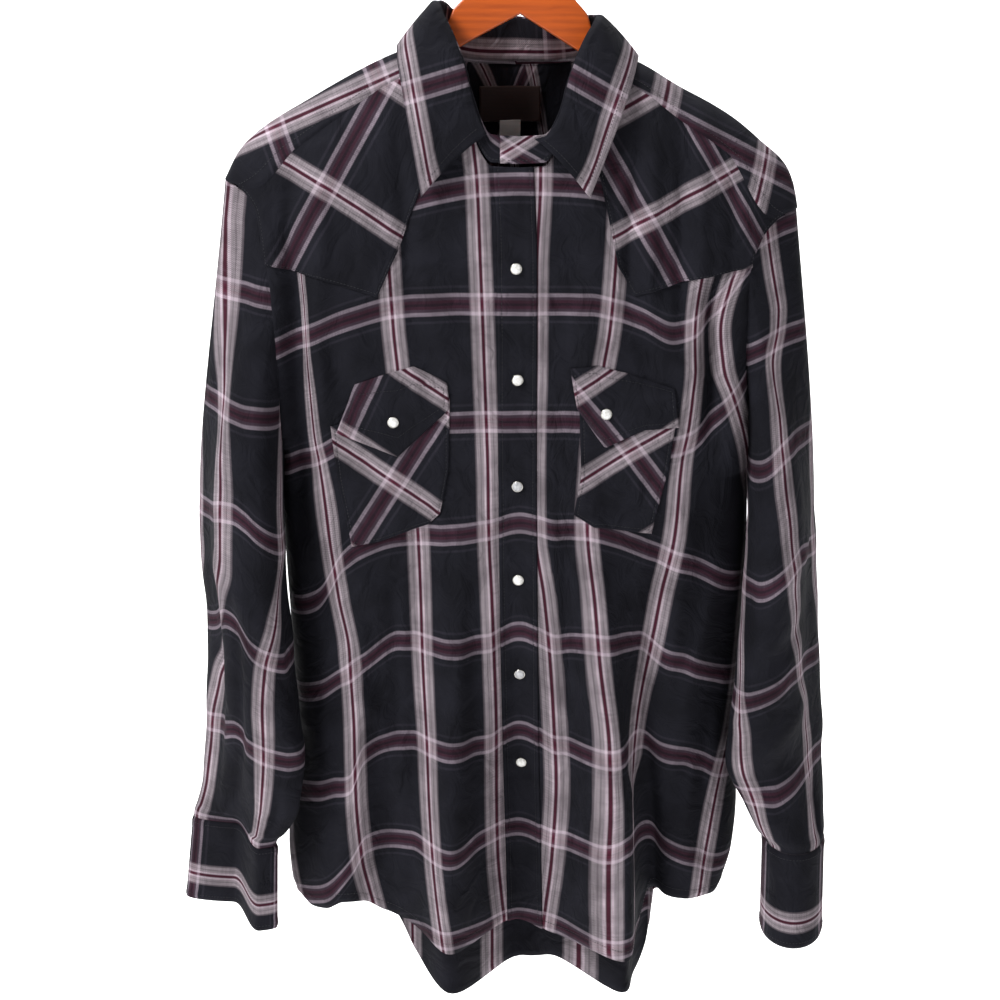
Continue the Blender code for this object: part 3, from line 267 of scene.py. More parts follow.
    def side_hem_z(self, side: int) -> float:
        """Height of the hem at the side seam."""
        return self.side_right[-1][0] if side == Side.RIGHT else self.side_left[-1][0]

    def ridge_drop(self, way: Array) -> Array:
        """Drop below the shoulder line after a way over the ridge."""
        way = np.abs(way)
        quarter = self.ridge_round * math.pi / 2
        bend = self.ridge_round * (1 - np.cos(np.minimum(way, quarter) / self.ridge_round))
        return np.where(way < quarter, bend, self.ridge_round + way - quarter)

    def ridge_way(self, drop: Array) -> Array:
        """The way over the ridge that gives a drop."""
        drop = np.asarray(drop, float)
        bend = np.arccos(1 - np.clip(drop, 0.0, self.ridge_round) / self.ridge_round)
        straight = self.ridge_round * (math.pi / 2 - 1) + drop
        return np.where(drop < self.ridge_round, self.ridge_round * bend, straight)

    def held(self, z: Array, side: int) -> Array:
        """How far the armhole holds a panel's edge away from the side seam."""
        tip = read(self.shoulder, self.edge_x(Face.FRONT, side, self.tip_z(side)))
        middle = mix(tip, self.underarm_z(side), self.held_from)
        rest = np.clip((middle - z) / (middle - self.underarm_z(side)), 0.0, 1.0)
        return self.held_share * np.sqrt(1.0 - rest * rest)

    def push(self, x: Array, z: Array) -> tuple[Array, Array]:
        """Push toward -Y and lean of the crest of all folds at a place."""
        push = lean = 0.0
        for x_top, x_low, z_top, half, depth, tilt in self.folds:
            grown = np.maximum((z_top - z) / (z_top - self.fold_full_z), 0.0)
            share = smooth(grown) * (1.0 + self.fold_growth * np.maximum(0.0, grown - 1.0))
            middle = mix(x_top, x_low, np.minimum(share, 1.0))
            shape = np.exp(-((x - middle) / half) ** 2 * self.fold_sharp)
            push = push + depth * share * shape
            lean = lean + tilt * share * shape
        return push, lean

    def crease(self, face: int, x: Array, z: Array) -> Array:
        """Push outward of the small creases, and of the cloth's own unevenness."""
        table = self.creases_front if face == Face.FRONT else self.creases_back
        push = self.crease_gain * relief(table, x, z)
        for across, down, start, depth in self.uneven:
            push = push + depth * (np.sin(x * across + z * down + start + face)
                                   * np.sin(z * across * self.uneven_slant - x * down + start))
        return push

    def y(self, face: int, x: Array, z: Array) -> Array:
        """Y of the outer face of a panel."""
        middle = read(self.centre, z)
        on_left = x > middle
        edge = np.where(on_left, self.edge_x(face, Side.LEFT, z), self.edge_x(face, Side.RIGHT, z))
        reach = np.minimum(np.abs(x - middle) / np.abs(edge - middle), 1.0)
        drop = read(self.shoulder, x) - z
        neck = np.exp(-((x - self.neck_x) / self.neck_spread) ** 2)
        start = self.ridge_half + self.neck_half_depth * neck
        table = self.depth_front if face == Face.FRONT else self.depth_back
        deep = read(table, z) - face * self.push(x, z)[0] + self.crease(face, x, z)
        out = start + (deep - start) * (1 - np.exp(-np.maximum(drop, 0.0) / self.depth_length))
        held = np.where(on_left, self.held(z, Side.LEFT), self.held(z, Side.RIGHT))
        round_off = held + (1 - held) * np.sqrt(np.maximum(0.0, 1 - reach ** self.edge_round))
        bend = np.minimum(self.ridge_way(drop) / self.ridge_round, math.pi / 2)
        turned = np.where(drop > 0, np.sin(bend), 0.0)
        seam = read(self.side_y, z) + face * self.seam_step
        return seam + (face * out * turned - seam) * round_off

    def at(self, face: int, x: Array, z: Array, lift: Array = 0.0) -> Array:
        """Points of a panel, moved out along its own normal.

        Args:
            face: the front or the back.
            x: places across, before the folds lean.
            z: heights.
            lift: how far out.

        Returns:
            The points as rows.
        """
        x, z = np.broadcast_arrays(np.asarray(x, float), np.asarray(z, float))

        def spot(x_at: Array, z_at: Array) -> Array:
            return np.stack([x_at + self.push(x_at, z_at)[1], self.y(face, x_at, z_at), z_at], -1)
        here = spot(x, z)
        across = spot(x + self.step, z) - spot(x - self.step, z)
        normal = unit(np.cross(across, here - spot(x, z - self.step))) * -face
        shy = normal[..., 1] * face < self.least_facing
        normal[..., 1] = np.where(shy, self.least_facing * face, normal[..., 1])
        return here + unit(normal) * np.asarray(lift, float)[..., None]

    def neckline_z(self, face: int, x: Array) -> Array:
        """Height of the neckline."""
        away = np.minimum(np.abs(x - self.neck_x) / self.neck_half, 1.0)
        low = self.neck_front_z if face == Face.FRONT else self.neck_back_z
        share = read(self.neckline, away, 1 if face == Face.FRONT else 2)
        return mix(read(self.shoulder, x), low, share)

    def seam_end_z(self, side: int) -> float:
        """Where the forward shoulder seam meets the armhole."""
        return self.tip_z(side) - self.front_edge_drop

    def forward_seam_z(self, x: Array) -> Array:
        """The shoulder seam, a little in front of the shoulder line."""
        left = np.asarray(x) > self.neck_x
        ends = {side: self.seam_end_z(side) for side in Side}
        z_end = np.where(left, ends[Side.LEFT], ends[Side.RIGHT])
        tips = {side: abs(self.edge_x(Face.FRONT, side, ends[side]) - self.neck_x) for side in Side}
        reach = np.where(left, tips[Side.LEFT], tips[Side.RIGHT])
        away = np.abs(x - self.neck_x)
        seam = read(self.shoulder, x) - read(self.seam_drops, away)
        return mix(seam, z_end, smooth((away / reach - 1 + self.seam_bend) / self.seam_bend))

    def front_top_z(self, x: Array) -> Array:
        """Upper edge of a front: the neckline, then the forward seam."""
        seam = self.forward_seam_z(x)
        in_neck = np.abs(x - self.neck_x) < self.neck_half
        return np.where(in_neck, np.minimum(seam, self.neckline_z(Face.FRONT, x)), seam)

    def across(self, face: int, side: int, q: Array, z: Array) -> Array:
        """X of column q, 0 at the centre and 1 at the side, at a height."""
        middle = read(self.centre, z)
        edge = np.abs(self.edge_x(face, side, z) - middle)
        out = smooth((np.abs(q) - self.column_hold) / self.column_blend)
        return middle + q * side * mix(self.centre_half, edge, out)


CREASE_END = 0.7  # power of a crease's fading at its ends


def relief(table: Table, across: Array, down: Array, wrap: float = 0.0) -> Array:
    """Sum of creases, each a soft line between two places that fades at its ends.

    Args:
        table: rows of across and down at one end, the same at the other, half width, depth.
        across: places across.
        down: places down.
        wrap: the length after which `across` starts again, or 0.

    Returns:
        The push of all of them.
    """
    total = np.zeros(np.broadcast(across, down).shape)
    for a0, d0, a1, d1, half, depth in table:
        da, dd = a1 - a0, d1 - d0
        ahead = across - a0
        if wrap:
            ahead = (ahead + wrap / 2) % wrap - wrap / 2
        length = math.hypot(da, dd)
        share = (ahead * da + (down - d0) * dd) / length ** 2
        off = (ahead * dd - (down - d0) * da) / length
        fade = np.sin(np.pi * np.clip(share, 0.0, 1.0)) ** CREASE_END
        total = total + depth * fade * np.exp(-(off / half) ** 2)
    return total


BODY = Body()


# ---------------- the woven plaid
@dataclass(frozen=True)
class Plaid:
    """Where the yarn-dyed stripes run: one warp group each 80 mm, one weft group each 100 mm."""

    warp_repeat: float = 0.08
    weft_repeat: float = 0.1
    group_half: float = 0.0125
    weft_half: float = 0.0175
    most_of_gap: float = 0.46  # of the gap to the next group, at most, on either side
    least_width: float = 1e-5
    # the seven warp groups on the fronts by height: z, x of each from the wearer's right
    warp_lines: Table = mm(
        (-200, -205, -128, -50, 13, 88, 172, 250), (-264, -203, -123, -42, 13, 83, 165, 225),
        (-340, -198, -119, -39, 10, 79, 156, 186), (-394, -195, -116, -37, 10, 75, 152, 172),
        (-426, -194, -113, -36, 10, 70, 152, 176), (-456, -192, -110, -35, 9.5, 65, 150, 187),
        (-484, -190, -107, -34, 9, 61, 147, 197), (-515, -186, -103, -33, 8.5, 58, 142, 206),
        (-576, -179, -97, -32, 9.5, 54, 138, 218), (-643, -171, -95, -29, 18.5, 58, 126, 215),
        (-698, -162, -94, -27, 23.5, 60, 117, 212), (-781, -159, -90, -25, 28.5, 65, 99, 203),
        (-833, -159, -88, -25, 30.5, 65, 92, 190), (-904, -155, -83, -24, 28, 64, 90, 177),
        (-983, -141, -73, -18, 21, 65, 90, 168), (-1060, -130, -65, -8, 14, 66, 92, 160))
    # how much of its width a group shows where a fold hides the rest: z, first, sixth group
    shows: Table = ((-0.264, 0.6, 1.0), (-0.34, 0.35, 1.0), (-0.4, 0.35, 1.0),
                    (-0.45, 0.6, 0.9), (-0.5, 0.7, 0.9), (-0.56, 1.0, 1.0),
                    (-0.8, 1.0, 1.0), (-0.83, 1.0, 0.1), (-1.06, 1.0, 0.05))
    # the weft groups on the fronts by place across: x, z of each downward
    weft_lines: Table = mm(
        (-230, -320, -416, -530, -668, -760, -858, -962, -1060),
        (-192, -310, -400, -512, -650, -740, -841, -944, -1050),
        (-165, -300, -388, -496, -606, -717, -828, -913, -1020),
        (-150, -295, -383, -488, -595, -706, -797, -892, -1000),
        (-115, -285, -374, -480, -583, -686, -787, -890, -985),
        (-62, -272, -371, -477, -580, -688, -787, -892, -975),
        (-33, -268, -371, -476, -576, -685, -788, -886, -984),
        (-4, -267, -371, -476, -570, -676, -781, -888, -988),
        (32, -268, -371, -476, -576, -687, -790, -889, -981),
        (56, -270, -371, -477, -575, -681, -791, -888, -985),
        (80, -275, -376, -479, -582, -682, -787, -873, -975),
        (103, -280, -384, -485, -591, -685, -784, -876, -975),
        (132, -292, -397, -500, -604, -700, -796, -892, -992),
        (150, -280, -392, -495, -609, -706, -800, -899, -1000),
        (165, -262, -378, -482, -617, -714, -808, -906, -1006),
        (190, -240, -345, -452, -632, -728, -823, -920, -1020),
        (208, -220, -325, -430, -640, -735, -830, -925, -1025))

    def between(self, at: Array, lines: list[Array], repeat: float, group: float,
                shows: list[Array] | None = None) -> Array:
        """Thread coordinate where each stripe group lies on a given line.

        Near a line and beyond the outer ones the scale is true, and the ground between two
        lines is stretched or taken up, as where a fold hides some of it.

        Args:
            at: the places.
            lines: where each group's middle is, in rising order, each as an array like `at`.
            repeat: the distance between two groups in flat cloth.
            group: half the width of a group.
            shows: the share of its width that each group shows.

        Returns:
            The coordinate: a whole number of repeats at each line.
        """
        gaps = [after - before for before, after in zip(lines, lines[1:])]
        knots, values = [], []
        for k, line in enumerate(lines):
            show = 1.0 if shows is None else shows[k]
            for way, gap in ((-1, gaps[k - 1] if k else None),
                             (1, gaps[k] if k < len(gaps) else None)):
                half = group * show
                if gap is not None:
                    half = np.minimum(half, self.most_of_gap * gap)
                knots.append(line + way * half)
                values.append(k * repeat + way * group)
        result = values[0] + (at - knots[0])
        for k in range(len(knots) - 1):
            width = np.maximum(knots[k + 1] - knots[k], self.least_width)
            share = np.clip((at - knots[k]) / width, 0.0, 1.0)
            result = np.where(at > knots[k], mix(values[k], values[k + 1], share), result)
        return np.where(at > knots[-1], values[-1] + (at - knots[-1]), result)

    def on_front(self, x: Array, z: Array) -> Array:
        """Thread coordinates on the fronts."""
        lines = [read(self.warp_lines, z, k) for k in range(1, 8)]
        shows = [read(self.shows, z), *[1.0] * 4, read(self.shows, z, 2), 1.0]
        warp = self.between(x, lines, self.warp_repeat, self.group_half, shows)
        wefts = [-read(self.weft_lines, x, k) for k in range(1, 9)]
        return np.stack([warp, self.between(-z, wefts, self.weft_repeat, self.weft_half)], -1)


PLAID = Plaid()


@dataclass(frozen=True)
class Bias:
    """Plaid on a piece cut on the bias: where one warp and one weft group cross on it."""

    x: float
    z: float
    warp_turn: float  # degrees of the warp group's line from +X toward +Z
    weft_turn: float
    bend: float = 0.0  # how much the warp group's line bends, 1/m
    warp_scale: float = 1.0  # how fast the next warp or weft group comes
    weft_scale: float = 1.0

    def thread(self, x: Array, z: Array) -> Array:
        """Thread coordinates at a place."""
        across, up = x - self.x, z - self.z
        warp, weft = math.radians(self.warp_turn), math.radians(self.weft_turn)
        ahead = across * math.cos(warp) + up * math.sin(warp)
        u = -across * math.sin(warp) + up * math.cos(warp) - self.bend * ahead ** 2
        v = -across * math.sin(weft) + up * math.cos(weft)

        def spread(away: Array, half: float, scale: float) -> Array:
            beyond = np.maximum(np.abs(away) - half, 0.0)
            return away + np.sign(away) * beyond * (scale - 1.0)
        return np.stack([spread(u, PLAID.group_half, self.warp_scale),
                         spread(v, PLAID.weft_half, self.weft_scale)], -1)


# ---------------- materials
def linear(colour: str) -> tuple[float, float, float, float]:
    """Linear RGBA of an sRGB hex colour."""
    parts = [int(colour[i:i + 2], 16) / 255 for i in (1, 3, 5)]
    return (*[c / 12.92 if c <= 0.04045 else ((c + 0.055) / 1.055) ** 2.4 for c in parts], 1.0)


class Shading:
    """A material in the making: its shader, and one short call for each kind of node."""

    def __init__(self, name: str, **constants: object) -> None:
        """Starts the material.

        Args:
            name: the material's name.
            constants: values of the shader's sockets, by their names with underscores.
        """
        self.material = bpy.data.materials.new(name)
        self.material.use_nodes = True
        self.tree = self.material.node_tree
        self.shader = self.tree.nodes["Principled BSDF"]
        for socket, value in constants.items():
            self.input(socket).default_value = value

    def input(self, name: str) -> Socket:
        """The shader's socket of a name that is written with underscores."""
        return self.shader.inputs[name.replace("_", " ").title().replace("Ior", "IOR")]

    def node(self, kind: str, links: dict, **settings: object) -> bpy.types.Node:
        """Adds a node with its settings, and its inputs' values and links.

        Args:
            kind: the node's type name without "ShaderNode".
            links: an input's name or number, and the socket or value it gets.
            settings: the node's own properties.

        Returns:
            The node.
        """
        made = self.tree.nodes.new(f"ShaderNode{kind}")
        for name, value in settings.items():
            setattr(made, name, value)
        for socket, value in links.items():
            if isinstance(value, Socket):
                self.tree.links.new(value, made.inputs[socket])
            else:
                made.inputs[socket].default_value = value
        return made

    def threads(self) -> Socket:
        """Thread coordinates."""
        return self.node("UVMap", {}, uv_map="thread").outputs["UV"]

    def place(self) -> Socket:
        """The place in the piece's own frame."""
        return self.node("TexCoord", {}).outputs["Object"]

    def math(self, operation: str, *values: Socket | float, clamp: bool = False) -> Socket:
        """The result of an operation."""
        return self.node("Math", dict(enumerate(values)), operation=operation,
                         use_clamp=clamp).outputs[0]

    def vector(self, operation: str, links: dict) -> Socket:
        """The result of an operation on vectors."""
        return self.node("VectorMath", links, operation=operation).outputs[0]

    def noise(self, place: Socket, scale: float, detail: float, distortion: float = 0.0,
              dimensions: str = "3D") -> Socket:
        """Cloudy noise from 0 to 1."""
        return self.node("TexNoise", {"Vector": place, "Scale": scale, "Detail": detail,
                                      "Distortion": distortion},
                         noise_dimensions=dimensions).outputs["Fac"]

    def bands(self, place: Socket, scale: float, distortion: float, across: str) -> Socket:
        """Soft bands across an axis, from 0 to 1."""
        return self.node("TexWave", {"Vector": place, "Scale": scale, "Distortion": distortion},
                         wave_type="BANDS", bands_direction=across).outputs["Fac"]

    def spread(self, value: Socket, low: float, high: float, to_low: float = 0.0,
               to_high: float = 1.0) -> Socket:
        """A range of a value drawn out to another range."""
        return self.node("MapRange",
                         {0: value, 1: low, 2: high, 3: to_low, 4: to_high}).outputs[0]

    def blend(self, share: Socket, *colours: Socket | str) -> Socket:
        """The colour at a share of the way from one colour to another."""
        ends = [linear(colour) if isinstance(colour, str) else colour for colour in colours]
        return self.node("Mix", {0: share, 6: ends[0], 7: ends[1]}, data_type="RGBA").outputs[2]

    def stripes(self, factor: Socket, ground: str, bands: tuple, reach: float,
                edge: float = 0.0009) -> Socket:
        """Colour by the distance from a group's middle.

        Args:
            factor: the distance over `reach`.
            ground: the colour beyond the group.
            bands: the distance at which each band ends, in metres, and its colour.
            reach: the distance at which the ramp ends.
            edge: over what distance one colour turns into the next.

        Returns:
            The colour socket.
        """
        ramp = self.node("ValToRGB", {"Fac": factor})
        stops = ramp.color_ramp
        stops.interpolation = "LINEAR"
        colours = [colour for _end, colour in bands] + [ground]
        ends = [end for end, _colour in bands]
        stops.elements[0].position, stops.elements[0].color = 0.0, linear(colours[0])
        stops.elements[1].position, stops.elements[1].color = 1.0, linear(ground)
        for end, before, after in zip(ends, colours, colours[1:]):
            for way, colour in ((-1, before), (1, after)):
                stop = stops.elements.new((end + way * edge / 2) / reach)
                stop.color = linear(colour)
        return ramp.outputs["Color"]

    def bump(self, height: Socket, strength: float, distance: float, **under: Socket) -> Socket:
        """A normal bent by a height, over another bump where one is given."""
        return self.node("Bump", {"Strength": strength, "Distance": distance, "Height": height,
                                  **under}).outputs[0]

    def done(self, **sockets: Socket) -> bpy.types.Material:
        """Links the shader's sockets, by their names with underscores, and gives the material."""
        for name, value in sockets.items():
            self.tree.links.new(value, self.input(name))
        return self.material


@dataclass(frozen=True)
class PlaidCloth:
    """Yarn-dyed cotton blend, plain woven: matt, and soft at grazing angles from its fuzz."""

    name: str = "yarn_dyed_plain_weave"
    ground: str = "#17171d"
    # distances in metres from the middle of the group
    warp_bands: tuple = ((0.0015, "#4e1a2b"), (0.0034, "#cdbcc6"), (0.0056, "#a0959b"),
                         (0.0064, "#857a80"), (0.0095, "#a3989e"), (0.011, "#665d63"))
    weft_bands: tuple = ((0.0012, "#2a1620"), (0.0038, "#40202d"), (0.0064, "#463641"),
                         (0.0098, "#8f828d"), (0.0143, "#17171d"), (0.0165, "#2a2830"))
    thread: float = 0.0009  # drawn about twice as coarse as the real thread, to show
    weave_contrast: float = 0.16
    slub_contrast: float = 0.32
    slub_across: float = 900.0  # slubs in a metre across the threads, and along them
    slub_along: float = 45.0
    slub_height: float = 1.2  # against the weave's own
    tone_scale: float = 28.0
    tone_and_shade_range: tuple = (0.74, 1.2)  # the darkest and palest of the cloth's random tone and of painted shade from small wrinkles
    weave_bump: float = 0.3
    weave_height: float = 0.0001
    rumple_scale: float = 44.0
    rumple_bump: float = 0.8
    rumple_height: float = 0.0045

    def build(self) -> bpy.types.Material:
        """The material: warp and weft colours under a plain weave, slubs, and bump."""
        draw = Shading(self.name, roughness=0.9, specular_ior_level=0.1)
        threads = draw.threads()
        parts = draw.node("SeparateXYZ", {0: threads}).outputs
        colours = []
        for axis, repeat, bands in ((0, PLAID.warp_repeat, self.warp_bands),
                                    (1, PLAID.weft_repeat, self.weft_bands)):
            away = draw.math("PINGPONG", parts[axis], repeat / 2)
            share = draw.math("DIVIDE", away, repeat / 2)
            colours.append(draw.stripes(share, self.ground, bands, repeat / 2))
        weave = draw.math("MULTIPLY", *(
            draw.math("SINE", draw.math("MULTIPLY", parts[axis], math.pi / self.thread))
            for axis in (0, 1)))
        uneven = draw.math("SUBTRACT", *(
            draw.noise(draw.vector("MULTIPLY", {0: threads, 1: (*stretch, 1.0)}), 1.0, 2.0,
                       dimensions="2D")
            for stretch in ((self.slub_across, self.slub_along),
                            (self.slub_along, self.slub_across))))
        over = draw.math("MULTIPLY_ADD", weave, self.weave_contrast, 0.5)
        over = draw.math("MULTIPLY_ADD", uneven, self.slub_contrast, over, clamp=True)
        # a large cloudy tone over the colours: partly the yarn's own uneven tone, partly painted
        # shade of small wrinkles
        tone = draw.noise(threads, self.tone_scale, 3.0, dimensions="2D")
        tone_and_painted_shade = draw.spread(tone, 0.3, 0.7, *self.tone_and_shade_range)
        tinted = draw.vector("SCALE", {0: draw.blend(over, *colours), "Scale": tone_and_painted_shade})
        height = draw.math("MULTIPLY_ADD", uneven, self.slub_height, weave)
        normal = draw.bump(height, self.weave_bump, self.weave_height)
        rumple = draw.noise(threads, self.rumple_scale, 4.0, 0.8, "2D")
        normal = draw.bump(rumple, self.rumple_bump, self.rumple_height, Normal=normal)
        return draw.done(base_color=tinted, normal=normal)


@dataclass(frozen=True)
class PlainCloth:
    """A small woven tape or label: one colour, satin threads that catch a little light."""

    name: str
    colour: str
    border: str
    thread: float = 0.0006
    rib: float = 0.16  # the width of a band of the wave over its scale

    def build(self) -> bpy.types.Material:
        """The material: fine ribs across, a darker tone between them."""
        draw = Shading(self.name, roughness=0.55, sheen_weight=0.15)
        ribs = draw.bands(draw.threads(), self.rib / self.thread, 0.4, "Y")
        return draw.done(base_color=draw.blend(ribs, self.border, self.colour),
                         normal=draw.bump(ribs, 0.3, 0.0002))


@dataclass(frozen=True)
class SewingThread:
    """Spun polyester thread: fine, dark and a little glossy."""

    name: str = "spun_polyester_thread"
    light: str = "#24242b"
    shade: str = "#131318"

    def build(self) -> bpy.types.Material:
        """The material: a twist drawn as fine noise."""
        draw = Shading(self.name, roughness=0.6)
        twist = draw.noise(draw.place(), 900.0, 1.0)
        return draw.done(base_color=draw.blend(twist, self.shade, self.light))


@dataclass(frozen=True)
class PearlCap:
    """Cast pearly plastic: white, glossy, with a slow cloudy lustre."""

    name: str = "cast_pearl_plastic"
    light: str = "#f4f3f1"
    shade: str = "#cfcdc9"

    def build(self) -> bpy.types.Material:
        """The material: two whites in cloudy layers under a clear coat."""
        draw = Shading(self.name, roughness=0.22, coat_weight=0.6, coat_roughness=0.08, ior=1.5)
        lustre = draw.spread(draw.noise(draw.place(), 260.0, 2.0, 1.5), 0.35, 0.65)
        return draw.done(base_color=draw.blend(lustre, self.shade, self.light))


@dataclass(frozen=True)
class BrushedMetal:
    """Plated metal: bright, with fine scratches that blur what it mirrors."""

    name: str
    colour: str
    roughness: float = 0.22

    def build(self) -> bpy.types.Material:
        """The material: a metal whose roughness varies a little."""
        draw = Shading(self.name, metallic=1.0, base_color=linear(self.colour))
        marks = draw.noise(draw.place(), 600.0, 3.0)
        return draw.done(roughness=draw.spread(marks, 0.0, 1.0, self.roughness * 0.6,
                                               self.roughness * 1.5))


@dataclass(frozen=True)
class VarnishedWood:
    """Stained beech under varnish: orange brown, a fine grain along it, glossy on top."""

    name: str = "stained_varnished_beech"
    light: str = "#c4560c"
    shade: str = "#a94608"
    stretch: tuple = (0.1, 1.0, 1.0)  # the grain runs along X

    def build(self) -> bpy.types.Material:
        """The material: grain lines every few millimetres along X, flecks, and a clear coat."""
        draw = Shading(self.name, roughness=0.45, coat_weight=0.3, coat_roughness=0.16, ior=1.5)
        place = draw.node("Mapping", {"Vector": draw.place(), "Scale": self.stretch}).outputs[0]
        grain = draw.noise(place, 320.0, 4.0, 0.6)
        growth = draw.bands(place, 45.0, 6.0, "Z")
        share = draw.spread(draw.math("MULTIPLY_ADD", growth, 0.45, grain), 0.35, 1.0)
        return draw.done(base_color=draw.blend(share, self.shade, self.light),
                         normal=draw.bump(grain, 0.08, 0.0003))


@dataclass(frozen=True)
class StudioPaper:
    """Seamless paper: pale, matt, lit evenly from behind."""

    name: str = "seamless_paper"
    colour: str = "#ffffff"

    def build(self) -> bpy.types.Material:
        """The material: plain paper."""
        return Shading(self.name, roughness=0.95, emission_strength=0.85,
                       base_color=linear(self.colour)).done()


@lru_cache(maxsize=None)
def finish(kind: object) -> bpy.types.Material:
    """The material of a finish, built once."""
    return kind.build()


CLOTH = PlaidCloth()
LABEL_CLOTH = PlainCloth("woven_satin_label", "#3a1a15", "#1f0d0b")
TAB_CLOTH = PlainCloth("woven_white_tape", "#ffffff", "#f0f0ee")
THREAD = SewingThread()
PEARL = PearlCap()
# the same pearl in darker whites: painted shade for the front snaps that lie in shadow
SHADED_PEARL = PearlCap("pearl_plastic_painted_shade", "#c4c4c6", "#9b9b9f")
NICKEL = BrushedMetal("nickel_plated_brass", "#c9c6c0")
CHROME = BrushedMetal("chrome_plated_wire", "#c0c1c5", 0.12)
WOOD = VarnishedWood()


# ---------------- pieces
def add_object(name: str, data: bpy.types.ID) -> bpy.types.Object:
    """An object with its data, in the scene."""
    item = bpy.data.objects.new(name, data)
    bpy.context.scene.collection.objects.link(item)
    return item


def add_mesh(name: str, bm: bmesh.types.BMesh, material: bpy.types.Material) -> bpy.types.Object:
    """A smooth object of a finished bmesh, which is freed."""
    mesh = bpy.data.meshes.new(name)
    bm.to_mesh(mesh)
    bm.free()
    mesh.materials.append(material)
    mesh.shade_smooth()
    return add_object(name, mesh)


def spun(profile: list[tuple[float, float]], steps: int = 32) -> bmesh.types.BMesh:
    """A surface turned round Z from a line of radius and height."""
    bm = bmesh.new()
    line = [bm.verts.new((radius, 0.0, height)) for radius, height in profile]
    edges = [bm.edges.new(pair) for pair in zip(line, line[1:])]
    bmesh.ops.spin(bm, geom=line + edges, cent=(0, 0, 0), axis=(0, 0, 1), angle=math.tau,
                   steps=steps, use_merge=True)
    bmesh.ops.remove_doubles(bm, verts=bm.verts, dist=1e-6)
    bmesh.ops.recalc_face_normals(bm, faces=bm.faces)
    return bm


def place_piece(name: str, bm: bmesh.types.BMesh, material: bpy.types.Material, slot: str,
                replaces: tuple = ()) -> bpy.types.Object:
    """A finished bmesh as a piece that rides on the shirt.

    Args:
        name: the piece's name.
        bm: its mesh, freed here.
        material: its finish.
        slot: a slot name, not used.
        replaces: the solids that it stands for.

    Returns:
        The object, at the origin.
    """
    piece = add_mesh(name, bm, material)
    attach(piece, "root")
    if replaces:
        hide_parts(*replaces)
    LOG.info("%s: %d faces", name, len(piece.data.polygons))
    return piece


@dataclass(frozen=True)
class Panel:
    """A cloth piece: a surface by u toward +X and v up, seen from outside, and its threads."""

    name: str
    locate: Locate  # points at u, v
    thread: Locate  # thread coordinates at u, v
    columns: int
    rows: int
    wall: float = BODY.wall
    closed: bool = False
    cloth: object = CLOTH
    slot: str = "plaid_cloth"
    step: float = 0.004  # in u and v, between the points that give a normal

    def lifted(self, u: Array, v: Array, lift: Array) -> Array:
        """Points moved out along the surface's normal."""
        across = (self.locate(np.minimum(u + self.step, 1.0), v)
                  - self.locate(np.maximum(u - self.step, 0.0), v))
        up = (self.locate(u, np.minimum(v + self.step, 1.0))
              - self.locate(u, np.maximum(v - self.step, 0.0)))
        return self.locate(u, v) + unit(np.cross(across, up)) * np.asarray(lift)[..., None]

    def build(self, flat: tuple[float, float], area: float | None = None,
              held: str = "hung") -> bpy.types.Object:
        """Args:
            flat: the cut's width and length, not used.
            area: the cut's area where it isn't a rectangle, not used.
            held: how the cloth is held, not used.

        Returns:
            The piece.
        """
        bm = bmesh.new()
        bmesh.ops.create_grid(bm, x_segments=self.columns, y_segments=self.rows, size=0.5)
        spots = np.array([vert.co for vert in bm.verts])
        u, v = spots[:, 0] + 0.5, spots[:, 1] + 0.5
        threads = self.thread(u, v)
        for vert, spot in zip(bm.verts, self.locate(u, v)):
            vert.co = spot
        layer = bm.loops.layers.uv.new("thread")
        for face in bm.faces:
            for loop in face.loops:
                loop[layer].uv = threads[loop.vert.index]
        if self.closed:
            bmesh.ops.remove_doubles(bm, verts=bm.verts, dist=1e-6)
        piece = place_piece(f"{self.name}_cloth", bm, finish(self.cloth), self.slot, (self.name,))
        thicken = piece.modifiers.new("cloth thickness", "SOLIDIFY")
        thicken.thickness = self.wall
        thicken.offset = -1.0
        return piece


